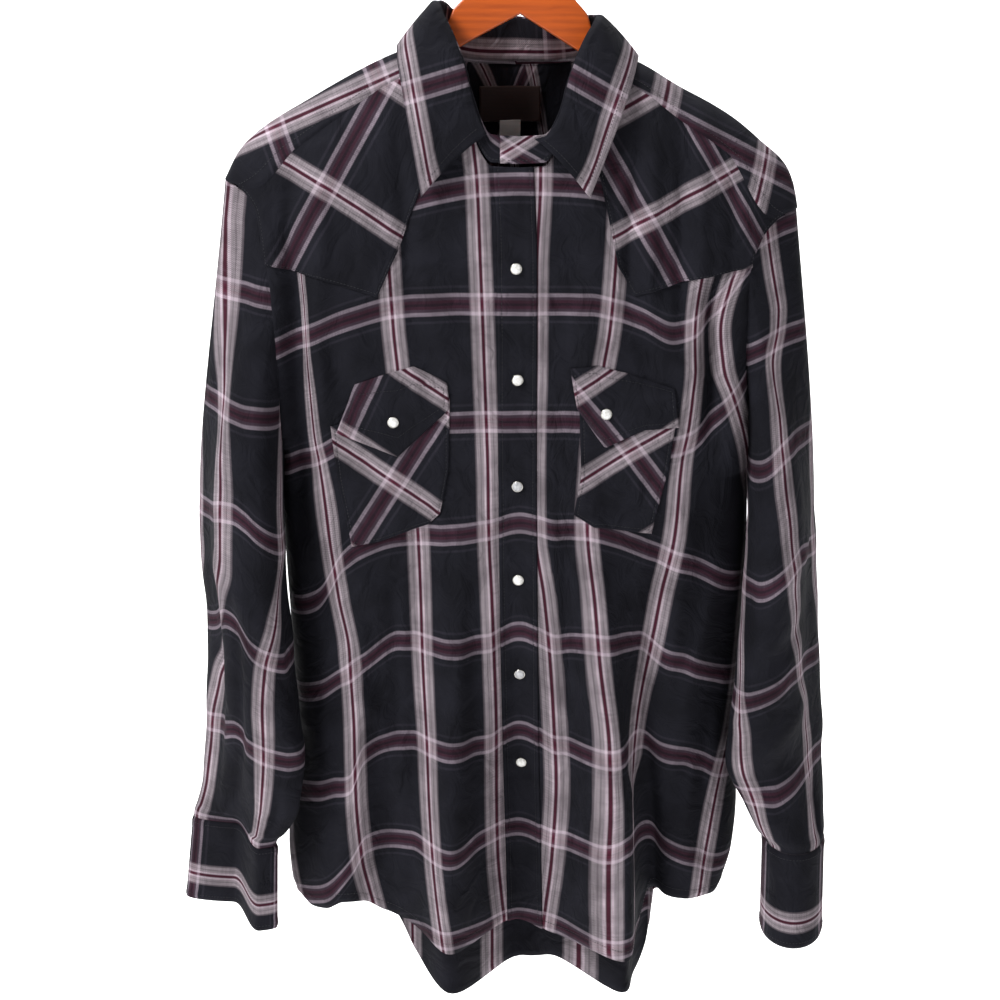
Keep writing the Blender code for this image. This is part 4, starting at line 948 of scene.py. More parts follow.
@dataclass
class Stitching:
    """Rows of sewn stitches, gathered into one piece."""

    name: str
    pitch: float = 0.0031
    length: float = 0.002
    width: float = 0.0005
    height: float = 0.00022
    end_share: float = 0.15  # of a stitch's length, at its pointed ends
    shoulder: float = 0.6  # height of its sides and its middle over `height`
    crown: float = 1.5
    sample: float = 0.002  # how far out a normal is measured
    bm: bmesh.types.BMesh | None = None

    def row(self, path: Array, normals: Array) -> None:
        """Adds stitches along a line.

        Args:
            path: the line's points on the cloth.
            normals: the way out of the cloth at each.
        """
        if self.bm is None:
            self.bm = bmesh.new()
        way = np.concatenate(([0.0], np.cumsum(np.linalg.norm(np.diff(path, axis=0), axis=1))))
        starts = np.arange(self.pitch / 2, way[-1] - self.length, self.pitch)

        def at(distance: Array, values: Array) -> Array:
            return np.stack([np.interp(distance, way, values[:, k]) for k in range(3)], -1)
        for a, b, n in zip(at(starts, path), at(starts + self.length, path),
                           unit(at(starts + self.length / 2, normals))):
            ahead = b - a
            beside = np.cross(n, ahead)
            size = np.linalg.norm(beside)
            if size < 1e-9:
                continue
            beside = beside / size * self.width / 2
            top = n * self.height
            low = n * -self.height
            near = a + ahead * self.end_share + top * self.shoulder
            far = b - ahead * self.end_share + top * self.shoulder
            corners = [a + low, near + beside, far + beside, b + low, far - beside,
                       near - beside, (a + b) / 2 + top * self.crown]
            verts = [self.bm.verts.new(c) for c in corners]
            for i in range(6):
                self.bm.faces.new((verts[i], verts[(i + 1) % 6], verts[6]))
            self.bm.faces.new([verts[i] for i in range(5, -1, -1)])

    def on(self, panel: Panel, path: list[tuple[float, float]], count: int = 160,
           rise: float = 0.0001) -> None:
        """Adds a row on a panel, along a line of u, v."""
        line = along(tuple(path), np.linspace(0.0, 1.0, count))
        u, v = line[:, 0], line[:, 1]
        spots = panel.lifted(u, v, rise)
        self.row(spots, panel.lifted(u, v, rise + self.sample) - spots)

    def build(self) -> bpy.types.Object:
        """The stitches as one piece."""
        bmesh.ops.recalc_face_normals(self.bm, faces=self.bm.faces)
        return place_piece(self.name, self.bm, finish(THREAD), "plaid_cloth")


def body_panel(name: str, face: int, where: Locate, lift: Locate,
               thread: Locate = PLAID.on_front, *, columns: int, rows: int) -> Panel:
    """A panel that lies on the body.

    Args:
        name: its name.
        face: the face that it lies on.
        where: gives x and z for u and v.
        lift: gives how far out it lies for u and v.
        thread: gives the thread coordinates for x and z.
        columns: how many columns it has.
        rows: how many rows.

    Returns:
        The panel.
    """
    def locate(u: Array, v: Array) -> Array:
        return BODY.at(face, *where(u, v), lift(u, v))

    def threads(u: Array, v: Array) -> Array:
        return thread(*where(u, v))
    return Panel(name, locate, threads, columns, rows)


@dataclass(frozen=True)
class TurnedEdge:
    """Relief of a turned and topstitched edge."""

    height: float = 0.00045
    stitch: float = 0.004  # distance of the sewn row from the edge
    rise: float = 0.0012  # width over which the turned cloth rises
    past: float = 0.003  # how far past the row it stays thick, and how far it fades
    fade: float = 0.004
    groove: float = 0.0003
    groove_half: float = 0.001
    rim: float = 0.0006  # how far the very edge turns down
    rim_half: float = 0.001

    def at(self, distance: Array) -> Array:
        """Push outward by the distance from the edge."""
        swell = smooth(distance / self.rise)
        swell = swell * (1 - smooth((distance - self.stitch - self.past) / self.fade))
        groove = self.groove * np.exp(-((distance - self.stitch) / self.groove_half) ** 2)
        return self.height * swell - groove - self.rim * (1 - smooth(distance / self.rim_half))


EDGE = TurnedEdge()
HEM = TurnedEdge(0.0003, 0.006)
HEM_REACH = 0.02


def hem_relief(above: Array) -> Array:
    """Relief of a hem by the height above it."""
    return HEM.at(np.abs(above)) * (above < HEM_REACH)


# ---------------- fronts
@dataclass(frozen=True)
class Fronts:
    """The two fronts, the placket strip, and what is sewn on them."""

    placket_half: float = 0.085  # in shares of the front's width
    rows: int = 210
    tuck: float = 0.007  # how far a front runs up under the yoke's edge
    tuck_from: float = 0.9
    even: float = 0.45  # share of the rows that are evenly spaced
    held_from: float = 0.9  # share of the width beyond which rows keep to the side seam
    crowd: float = 1.4  # power that brings columns closer at the side
    under: float = 0.0012  # how far the right front lies behind the placket

    def hem_v(self, v: Array) -> Array:
        """Share of the way down: rows are closer where the cloth leaves the shoulder."""
        down = 1 - v
        return self.even * down + (1 - self.even) * down * down

    def held(self, q: Array) -> Array:
        """How far a column keeps to the side seam's own heights."""
        return smooth((q - self.held_from) / (1 - self.held_from))

    def where(self, side: int, q: Array, v: Array) -> tuple[Array, Array]:
        """x and z of column q at v."""
        z_top, z_hem = BODY.seam_end_z(side), BODY.side_hem_z(side)
        r = self.hem_v(v)
        x = BODY.across(Face.FRONT, side, q, mix(z_top, z_hem, r))
        start = BODY.front_top_z(BODY.across(Face.FRONT, side, q, z_top))
        hem = read(BODY.hem_front, BODY.across(Face.FRONT, side, q, z_hem))
        return x, mix(start, mix(hem, z_hem, self.held(q)), r)

    def front(self, side: Side) -> Panel:
        """A front from behind the placket to the side."""
        start = -self.placket_half if side == Side.RIGHT else 0.0

        def column(u: Array) -> Array:
            out = u if side == Side.LEFT else 1 - u
            return mix(start, 1.0, 1 - (1 - out) ** self.crowd)

        def where(u: Array, v: Array) -> tuple[Array, Array]:
            x, z = self.where(side, column(u), v)
            under = np.abs(x - BODY.neck_x) > BODY.neck_half
            return x, z + self.tuck * under * smooth((v - self.tuck_from) / (1 - self.tuck_from))

        def lift(u: Array, v: Array) -> Array:
            hem = read(BODY.hem_front, where(u, np.zeros_like(v))[0])
            rise = hem_relief(where(u, v)[1] - hem)
            if side == Side.LEFT:
                return rise
            lap = (column(u) + self.placket_half) / (2 * self.placket_half)
            return rise - self.under * (1 - smooth(lap))
        return body_panel(f"front_{side.word}", Face.FRONT, where, lift, columns=110,
                          rows=self.rows)

    def placket(self) -> Panel:
        """The strip down the wearer's left front, over the right one."""
        def where(u: Array, v: Array) -> tuple[Array, Array]:
            return self.where(Side.LEFT, (2 * u - 1) * self.placket_half, v)

        def lift(u: Array, v: Array) -> Array:
            width = 2 * self.placket_half * BODY.centre_half
            return BODY.lift + EDGE.at(np.minimum(u, 1 - u) * width)

        def thread(x: Array, z: Array) -> Array:
            threads = PLAID.on_front(x, z)
            between_groups = 2.5 * PLAID.warp_repeat
            threads[..., 0] = between_groups + (x - read(BODY.centre, z))
            return threads
        return body_panel("placket", Face.FRONT, where, lift, thread, columns=28,
                          rows=self.rows)

    def build(self) -> None:
        """Builds the fronts and the placket with their stitching."""
        sewing = Stitching("front_stitching")
        for side in Side:
            panel = self.front(side)
            panel.build(flat=(0.3, 0.84), area=0.21)
            sewing.on(panel, [(0.004, 0.0085), (0.996, 0.0085)], count=400)
        placket = self.placket()
        placket.build(flat=(0.036, 0.74))
        for u in (0.11, 0.89):
            sewing.on(placket, [(u, 0.998), (u, 0.004)], count=500)
        sewing.build()


FRONTS = Fronts()


@dataclass(frozen=True)
class Overlay:
    """A piece that lies on a front between four edges, each a line of x, z."""

    name: str
    side: Side
    top: Table
    inner: Table
    outer: Table
    bottom: Table
    bias: Bias
    flat: tuple[float, float]
    area: float
    layers: int = 1
    columns: int = 60
    rows: int = 60
    stitch_in: float = 0.004
    crowd: float = 0.1  # how far columns and rows move toward the edges
    edge_u: float = 0.45  # shares of the width and the height that give the distance
    edge_v: float = 0.55  # from an edge, for columns and rows that are crowded there
    sewn_from: float = 0.7  # share of the height above which two layers come down to one
    slant_u: float = 2.2  # how far in the sewn row lies, over `stitch_in`
    slant_v: float = 1.9

    @property
    def size(self) -> tuple[float, float]:
        """Width along the top and height along the inner edge."""
        return tuple(np.linalg.norm(np.subtract(line[0], line[-1]))
                     for line in (self.top, self.inner))

    def patch(self, u: Array, v: Array) -> Array:
        """x, z at share u outward and v down."""
        edges = [along(line, t) for line, t in ((self.top, u), (self.bottom, u), (self.inner, v),
                                                (self.outer, v))]
        u, v = np.asarray(u)[..., None], np.asarray(v)[..., None]
        corners = [((1 - u) * (1 - v), self.top[0]), (u * (1 - v), self.top[-1]),
                   ((1 - u) * v, self.bottom[0]), (u * v, self.bottom[-1])]
        spot = (1 - v) * edges[0] + v * edges[1] + (1 - u) * edges[2] + u * edges[3]
        return spot - sum(share * np.array(corner) for share, corner in corners)

    def where(self, u: Array, v: Array) -> tuple[Array, Array]:
        """x and z at u toward +X and v up, with more columns near the edges."""
        u, v = (t - self.crowd * np.sin(2 * np.pi * t) for t in (u, v))
        spot = self.patch(u if self.side == Side.LEFT else 1 - u, 1 - v)
        return spot[..., 0], spot[..., 1]

    def panel(self) -> Panel:
        """The piece as a panel."""
        width, height = self.size

        def lift(u: Array, v: Array) -> Array:
            edge = np.minimum(np.minimum(u, 1 - u) * width * self.edge_u,
                              np.minimum(v, 1 - v) * height * self.edge_v)
            sewn = smooth((v - self.sewn_from) / (1 - self.sewn_from))
            return BODY.lift * mix(self.layers, 1.0, sewn) + EDGE.at(edge)
        return body_panel(self.name, Face.FRONT, self.where, lift, self.bias.thread,
                          columns=self.columns, rows=self.rows)

    def build(self, sewing: Stitching) -> None:
        """Builds it and sews round its edges."""
        panel = self.panel()
        panel.build(flat=self.flat, area=self.area)
        width, height = self.size
        a, b = self.slant_u * self.stitch_in / width, self.slant_v * self.stitch_in / height
        sewing.on(panel, [(a, 1 - b), (a, b), (1 - a, b), (1 - a, 1 - b), (a, 1 - b)], count=500)


def front_yoke(side: Side) -> Overlay:
    """A pointed yoke from the neck to the armhole, with its lower edge on the chest."""
    if side == Side.RIGHT:
        inner = mm((-60, -196), (-93, -278), (-112, -326), (-130, -365))
        bottom = mm((-130, -365), (-181, -349), (-228.7, -338))
        bias = Bias(-0.1724, -0.2714, 149.5, 60.0, 0.55, 0.7)
    else:
        inner = mm((47, -196), (74, -304), (81, -338), (97, -364.5))
        bottom = mm((97, -364.5), (138, -352), (200, -340))
        bias = Bias(0.103, -0.299, 28.0, 120.5, 0.0, 0.85, 1.36)
    past_seam = 0.004
    x_far = float(BODY.edge_x(Face.FRONT, side, BODY.seam_end_z(side)))
    across = np.linspace(inner[0][0], x_far, 40)
    heights = BODY.front_top_z(across) + past_seam
    top = tuple(zip(across, heights))
    inner = ((float(across[0]), float(heights[0])),) + inner[1:]
    down = np.linspace(heights[-1], bottom[-1][1], 30)
    outer = tuple(zip(BODY.edge_x(Face.FRONT, side, down), down))
    return Overlay(f"front_yoke_{side.word}", side, top, inner, outer, bottom, bias,
                   flat=(0.195, 0.185), area=0.0225, columns=90, rows=80)


OVERLAYS = (
    Overlay("pocket_right", Side.RIGHT,
            mm((-66.5, -453), (-120, -468), (-174, -480)),
            mm((-66.5, -453), (-68, -520), (-76, -560)),
            mm((-174, -480), (-169, -530), (-157.4, -592.7)),
            mm((-76, -560), (-86, -570.5), (-131.7, -587.9), (-157.4, -592.7)),
            Bias(-0.117, -0.532, 145.5, 57.5), (0.115, 0.14), 0.0118),
    Overlay("pocket_left", Side.LEFT,
            mm((49, -466), (95, -466), (137, -464)),
            mm((49, -466), (50, -525), (43, -561)),
            mm((137, -464), (130, -520), (115.8, -580.3)),
            mm((43, -561), (60, -571.8), (115.8, -580.3)),
            Bias(0.096, -0.502, 31.0, 127.0), (0.095, 0.12), 0.0092),
    Overlay("flap_right", Side.RIGHT,
            mm((-69, -440), (-99.2, -426), (-130.5, -435), (-151.1, -442.2)),
            mm((-69, -440), (-67, -464)),
            mm((-151.1, -442.2), (-169.2, -486.9)),
            mm((-67, -464), (-113.9, -508.1), (-169.2, -486.9)),
            Bias(-0.1278, -0.4152, 146.2, 64.7), (0.11, 0.08), 0.0058, layers=2),
    Overlay("flap_left", Side.LEFT,
            mm((40.2, -427.8), (63.2, -425.1), (91.8, -432.3), (133.9, -445.8)),
            mm((40.2, -427.8), (46.8, -464)),
            mm((133.9, -445.8), (138.5, -481.4)),
            mm((46.8, -464), (71.6, -499.8), (108.1, -483.2), (138.5, -481.4)),
            Bias(0.0432, -0.4517, 34.0, 129.6), (0.102, 0.076), 0.0052, layers=2),
)


# ---------------- back and its yoke
@dataclass(frozen=True)
class Back:
    """The back with its longer tail, and the bias yoke over both shoulders."""

    # lower edge of the yoke by the distance from the middle: x, z
    yoke_edge: Table = mm((0, -345), (50, -318), (115, -352), (180, -338), (245, -330))
    tuck: float = 0.016
    neck_share: float = 0.36
    # the yoke's plaid: a crossing on each shoulder, which turn into one another behind the neck
    bias_right: Bias = Bias(-0.2186, -0.2272, 23.0, 113.0)
    bias_left: Bias = Bias(0.2095, -0.2604, 75.0, 153.5, 0.0, 0.77)
    blend_half: float = 0.08
    blend_z: float = -0.27  # where the two patterns are brought to the nearest repeat
    tip_x: float = 0.24  # distance from the middle at which the yoke meets the armhole
    crowd: float = 1.3  # power that brings the back's columns closer at the sides
    thread_at: tuple = (0.03, 0.088)
    neck_turn: float = 112.0  # degrees round the neck to the forward seam's corner
    over_seam: float = 0.0004
    over_tip: float = 0.001
    first: float = 0.12  # share of the yoke's armhole in front of the shoulder's tip
    low_rows: float = 1.6
    row_power: float = 1.5
    held_power: int = 6  # how sharply the outer columns bend to the armhole
    held_rows: float = 0.05
    yoke_edges: tuple = (0.1, 0.17)  # lengths that scale the distance from either edge
    ends_from: float = 0.93  # where the yoke comes down to the sleeve
    rises: tuple = (1.6, 0.7)
    sewn_front: float = 0.1  # v of the sewn rows, and u where the front ones end
    sewn_behind: float = 0.975
    sewn_to: float = 0.318

    @property
    def tip_z(self) -> float:
        """Height of the yoke's lower edge at the armhole."""
        return float(read(self.yoke_edge, self.tip_x))

    def yoke_z(self, x: Array) -> Array:
        """Height of the yoke's lower edge."""
        return read(self.yoke_edge, np.abs(x - BODY.neck_x))

    def back(self) -> Panel:
        """The back below the yoke."""
        z_top = self.tip_z + self.tuck

        def where(u: Array, v: Array) -> tuple[Array, Array]:
            p = 1 - 2 * u
            left = p > 0
            q = 1 - (1 - np.abs(p)) ** self.crowd
            r = FRONTS.hem_v(v)
            results = []
            for side in (Side.RIGHT, Side.LEFT):
                z_hem = BODY.side_hem_z(side)
                x = BODY.across(Face.BACK, side, q, mix(z_top, z_hem, r))
                held = FRONTS.held(q)
                start = self.yoke_z(BODY.across(Face.BACK, side, q, z_top)) + self.tuck
                hem = read(BODY.hem_back, BODY.across(Face.BACK, side, q, z_hem))
                results.append((x, mix(mix(start, z_top, held), mix(hem, z_hem, held), r)))
            return tuple(np.where(left, b, a) for a, b in zip(*results))

        def lift(u: Array, v: Array) -> Array:
            hem = read(BODY.hem_back, where(u, np.zeros_like(v))[0])
            return hem_relief(where(u, v)[1] - hem)

        def thread(x: Array, z: Array) -> Array:
            return np.stack([x + self.thread_at[0], -z - self.thread_at[1]], -1)
        return body_panel("back", Face.BACK, where, lift, thread, columns=150, rows=190)

    def yoke(self) -> Panel:
        """One piece over both shoulders, from the forward seams to a pointed edge behind."""
        def start(side: int, q: Array) -> tuple[Array, Array]:
            full = math.radians(self.neck_turn)
            turn = np.minimum(q / self.neck_share, 1.0 - 1e-6) * full
            x_neck = BODY.neck_x + side * BODY.neck_half * np.sin(turn)
            top = read(BODY.shoulder, x_neck)
            way = np.where(turn < math.pi / 2,
                           BODY.ridge_way(top - BODY.neckline_z(Face.BACK, x_neck)),
                           -BODY.ridge_way(top - BODY.neckline_z(Face.FRONT, x_neck)))
            corner = BODY.neck_x + side * BODY.neck_half * math.sin(full)
            end = BODY.edge_x(Face.FRONT, side, BODY.seam_end_z(side) + self.over_tip)
            x = mix(corner, end, (q - self.neck_share) / (1 - self.neck_share))
            seam = -BODY.ridge_way(read(BODY.shoulder, x) - BODY.forward_seam_z(x) - self.over_seam)
            on_neck = q < self.neck_share
            return np.where(on_neck, x_neck, x), np.where(on_neck, way, seam)

        def finish_line(side: int, q: Array) -> tuple[Array, Array]:
            x = mix(BODY.neck_x, BODY.edge_x(Face.BACK, side, self.tip_z), q)
            return x, BODY.ridge_way(read(BODY.shoulder, x) - self.yoke_z(x))

        def armhole(side: int, w: Array) -> tuple[Array, Array]:
            z_tip, first = BODY.tip_z(side), self.first
            early = w < first
            drop = BODY.front_edge_drop - self.over_tip
            z_front = z_tip - drop * (1 - np.minimum(w / first, 1.0)) ** 2
            behind = np.maximum((w - first) / (1 - first), 0.0)
            z_back = mix(z_tip, self.tip_z, behind ** self.low_rows)
            x = np.where(early, BODY.edge_x(Face.FRONT, side, z_front),
                         BODY.edge_x(Face.BACK, side, z_back))
            z = np.where(early, z_front, z_back)
            way = BODY.ridge_way(np.maximum(read(BODY.shoulder, x) - z, 0.0))
            return x, np.where(early, -way, way)

        def where(u: Array, v: Array) -> tuple[Array, Array]:
            p = 2 * u - 1
            q_side = np.abs(p)
            w = v ** self.row_power
            results = []
            for side in (Side.RIGHT, Side.LEFT):
                x0, s0 = start(side, q_side)
                x1, s1 = finish_line(side, q_side)
                x, s = mix(x0, x1, w), mix(s0, s1, w)
                xa, sa = armhole(side, w)
                held = q_side ** self.held_power * np.minimum(w / self.held_rows, 1.0)
                results.append((mix(x, xa, held), mix(s, sa, held)))
            return tuple(np.where(p > 0, b, a) for a, b in zip(*results))

        def spot(x: Array, way: Array) -> Array:
            z = read(BODY.shoulder, x) - BODY.ridge_drop(way)
            y = np.where(way < 0, BODY.y(Face.FRONT, x, z), BODY.y(Face.BACK, x, z))
            return np.stack([x, y, z], -1)

        def locate(u: Array, v: Array) -> Array:
            x, way = where(u, v)
            here = spot(x, way)
            across = spot(x + BODY.step, way) - here
            normal = unit(np.cross(across, spot(x, way + BODY.step) - here))
            face = np.where(way < 0, -1, 1)
            over = (normal[..., 2] < 0) & (np.abs(way) < BODY.ridge_round)
            behind = (np.abs(way) >= BODY.ridge_round) & (normal[..., 1] * face < 0)
            normal = np.where((over | behind)[..., None], -normal, normal)
            w, (front, rear) = v ** self.row_power, self.yoke_edges
            ended = smooth((np.abs(2 * u - 1) - self.ends_from) / (1 - self.ends_from))
            rise = mix(*self.rises, ended) * BODY.lift
            rise = rise + EDGE.at(np.minimum(w * front, (1 - w) * rear))
            return here + normal * rise[..., None]

        def thread(u: Array, v: Array) -> Array:
            x, way = where(u, v)
            flat_z = read(BODY.shoulder, x) + way
            middle = np.array([BODY.neck_x]), np.array([self.blend_z])
            repeats = np.array([PLAID.warp_repeat, PLAID.weft_repeat])
            gap = self.bias_right.thread(*middle) - self.bias_left.thread(*middle)
            left = self.bias_left.thread(x, flat_z) + np.round(gap / repeats) * repeats
            share = smooth((x - BODY.neck_x + self.blend_half) / self.blend_half / 2)
            return mix(self.bias_right.thread(x, flat_z), left, share[..., None])
        return Panel("back_yoke", locate, thread, columns=180, rows=70)

    def build(self) -> None:
        """Builds both with their stitching."""
        sewing = Stitching("back_stitching")
        back, yoke = self.back(), self.yoke()
        back.build(flat=(0.52, 0.75), area=0.36)
        yoke.build(flat=(0.56, 0.24), area=0.106)
        sewing.on(back, [(0.004, 0.008), (0.996, 0.008)], count=500)
        sewing.on(yoke, [(0.004, self.sewn_behind), (0.996, self.sewn_behind)], count=500)
        for u0, u1 in ((0.004, self.sewn_to), (1 - self.sewn_to, 0.996)):
            sewing.on(yoke, [(u0, self.sewn_front), (u1, self.sewn_front)], count=300)
        sewing.build()


# ---------------- collar
@dataclass(frozen=True)
class Collar:
    """The stand round the neck and the fall over it, each two layers with an interlining."""

    wall: float = 0.0018
    # angle from centre back, height on the right, height on the left, lean into the neck
    stand: Table = ((0, 0.036, 0.036, 0.006), (60, 0.034, 0.028, 0.0055),
                    (90, 0.029, 0.0225, 0.005), (140, 0.028, 0.025, 0.003),
                    (160, 0.022, 0.022, 0.001), (180, 0.0215, 0.0215, 0.0))
    lap_angle: float = 12.0
    lap: float = 0.003
    lap_from: float = 135.0  # degrees at which the left end starts to step out
    lap_over: float = 30.0
    rise: float = 0.003
    top_rise: float = 0.0046
    # the plaid on the stand: level behind, on the bias in front, crossing at `cross`
    radius: float = 0.066
    level_at: tuple = (0.0075, -0.033)
    height: float = 0.034
    cross: tuple = (0.215, 0.0164)
    bias_from: float = 115.0
    bias_over: float = 20.0
    # the fall's edge from centre back to the point: share of the way, x, y, z
    edge_right: Table = ((0.0, -0.0065, 0.078, -0.178), (0.25, -0.068, 0.064, -0.17),
                         (0.47, -0.1125, 0.004, -0.1505), (0.55, -0.111, -0.025, -0.162),
                         (0.64, -0.106, -0.044, -0.188), (0.8, -0.0985, -0.057, -0.23),
                         (1.0, -0.0898, -0.067, -0.277))
    edge_left: Table = ((0.0, -0.0065, 0.078, -0.178), (0.25, 0.056, 0.064, -0.175),
                        (0.47, 0.1, 0.004, -0.1595), (0.55, 0.096, -0.022, -0.171),
                        (0.64, 0.088, -0.045, -0.194), (0.8, 0.0735, -0.058, -0.233),
                        (1.0, 0.0552, -0.067, -0.2785))
    # where a weft group crosses each leaf
    leaf_right: Bias = Bias(-0.0791, -0.1844, 90.0, 16.3)
    leaf_left: Bias = Bias(0.0555, -0.186, 90.0, -29.0)
    # the fall's plaid: its height behind and in front, the warp group in from the edge and the
    # weft group along it on the left and the right, the weft's lean, and half the fall's length
    heights: tuple = (0.05, 0.074)
    warp_in: tuple = (0.0085, 0.0115)
    weft_at: tuple = (0.1675, 0.1815)
    weft_lean: float = 0.032
    half_length: float = 0.235
    grows_from: float = 0.4  # share of the way at which the fall starts to grow higher
    leaf_from: float = 0.45  # and at which the weft follows the leaf
    leaf_over: float = 0.15
    turn: float = 2.0  # degrees to either side by which the way out is measured
    end_right: float = 159.0
    end_left: float = 169.0
    out: float = 0.0025
    fall_rise: float = 0.0042
    end_power: int = 8  # how late the roll turns down to the point
    bends: tuple = (0.36, 0.16)  # how far down the fall bends, behind and in front
    bend_from: float = 0.5  # share of the way at which the one turns into the other
    bend_over: float = 0.2
    end_bend: float = 0.2
    end_out: float = 0.004
    end_rise: float = -0.0025
    # how the fall's upper edge comes in over the stand's, to which it is sewn
    sewn_from: float = 0.9
    sewn_in: float = 0.0036
    sewn_down: float = 0.0028

    def neck(self, angle: Array) -> Array:
        """The neckline at an angle from centre back, positive to the wearer's left."""
        turn = np.radians(angle)
        x = BODY.neck_x + BODY.neck_half * np.sin(turn)
        spots = []
        for face in (Face.BACK, Face.FRONT):
            z = BODY.neckline_z(face, x)
            spots.append(np.stack([x, BODY.y(face, x, z), z], -1))
        return np.where((np.cos(turn) > 0)[..., None], spots[0], spots[1])

    def outward(self, angle: Array) -> Array:
        """The way out of the neck, level."""
        ahead = self.neck(angle + self.turn) - self.neck(angle - self.turn)
        return unit(np.stack([-ahead[..., 1], ahead[..., 0], np.zeros(len(ahead))], -1))

    def stand_at(self, angle: Array, share: Array) -> Array:
        """Points of the stand's outer face, from its foot to its top."""
        away = np.minimum(np.abs(angle), 180.0)
        height = np.where(angle > 0, read(self.stand, away, 2), read(self.stand, away, 1))
        lap = self.lap * smooth((angle - self.lap_from) / self.lap_over)
        out = lap - read(self.stand, away, 3) * share
        up = np.zeros((len(angle), 3))
        up[:, 2] = mix(self.rise, self.top_rise, share) + height * share
        return self.neck(angle) + self.outward(angle) * out[:, None] + up

    def stand_panel(self) -> Panel:
        """The stand."""
        limit = 180.0 + self.lap_angle

        def thread(u: Array, v: Array) -> Array:
            angle = mix(limit, -limit, u)
            way, high = np.radians(angle) * self.radius, v * self.height
            level = np.stack([self.level_at[0] - high, self.level_at[1] + way], -1)
            ahead, up = way - self.cross[0], high - self.cross[1]
            bias = np.stack([ahead + up, ahead - up], -1) / math.sqrt(2.0)
            turned = smooth((np.abs(angle) - self.bias_from) / self.bias_over)
            return mix(level, bias, turned[..., None])
        return Panel("collar_stand", lambda u, v: self.stand_at(mix(limit, -limit, u), v),
                     thread, columns=150, rows=16, wall=self.wall)

    def fall_panel(self) -> Panel:
        """The fall: over the stand's top and down to the points."""
        def parts(u: Array) -> tuple[Array, Array, Array]:
            left = u < 0.5
            share = np.abs(u - 0.5) * 2
            angle = np.where(left, share * self.end_left, -share * self.end_right)
            return left, share, angle

        def locate(u: Array, v: Array) -> Array:
            left, share, angle = parts(u)
            ended = share ** self.end_power
            roll = self.stand_at(angle, np.ones_like(u))
            roll = roll + self.outward(angle) * mix(self.out, self.end_out, ended)[:, None]
            roll[:, 2] += mix(self.fall_rise, self.end_rise, ended)
            edge = np.stack([np.where(left, read(self.edge_left, share, k),
                                      read(self.edge_right, share, k)) for k in (1, 2, 3)], -1)
            bend = (roll + edge) / 2
            low = mix(*self.bends, smooth((share - self.bend_from) / self.bend_over))
            bend[:, 2] = mix(roll[:, 2], edge[:, 2], low + self.end_bend * ended)
            t = (1 - v)[:, None]
            spots = roll * (1 - t) ** 2 + bend * 2 * t * (1 - t) + edge * t * t
            over = smooth((v - self.sewn_from) / (1 - self.sewn_from)) * (1 - ended)
            spots = spots - self.outward(angle) * (self.sewn_in * over)[:, None]
            spots[:, 2] -= self.sewn_down * over
            return spots

        def thread(u: Array, v: Array) -> Array:
            left, share, _angle = parts(u)
            grown = smooth((share - self.grows_from) / (1 - self.grows_from))
            height = mix(*self.heights, grown)
            across = v * height - np.where(left, *self.warp_in)
            offset = np.where(left, *self.weft_at) + self.weft_lean * v
            spots = locate(u, v)
            leaf = np.where(left, *(-bias.thread(spots[:, 0], spots[:, 2])[:, 1]
                                    for bias in (self.leaf_left, self.leaf_right)))
            on_leaf = smooth((share - self.leaf_from) / self.leaf_over)
            weft = mix(share * self.half_length - offset, leaf, on_leaf)
            return np.stack([across, weft], -1)
        return Panel("collar_fall", locate, thread, columns=220, rows=36, wall=self.wall)

    def build(self) -> None:
        """Builds both with their stitching."""
        sewing = Stitching("collar_stitching")
        stand, fall = self.stand_panel(), self.fall_panel()
        stand.build(flat=(0.48, 0.034), held="folded")
        fall.build(flat=(0.5, 0.07), held="folded")
        sewing.on(fall, [(0.01, 0.94), (0.01, 0.09), (0.99, 0.09), (0.99, 0.94)], count=700)
        sewing.on(stand, [(0.01, 0.12), (0.99, 0.12)], count=400)
        sewing.build()


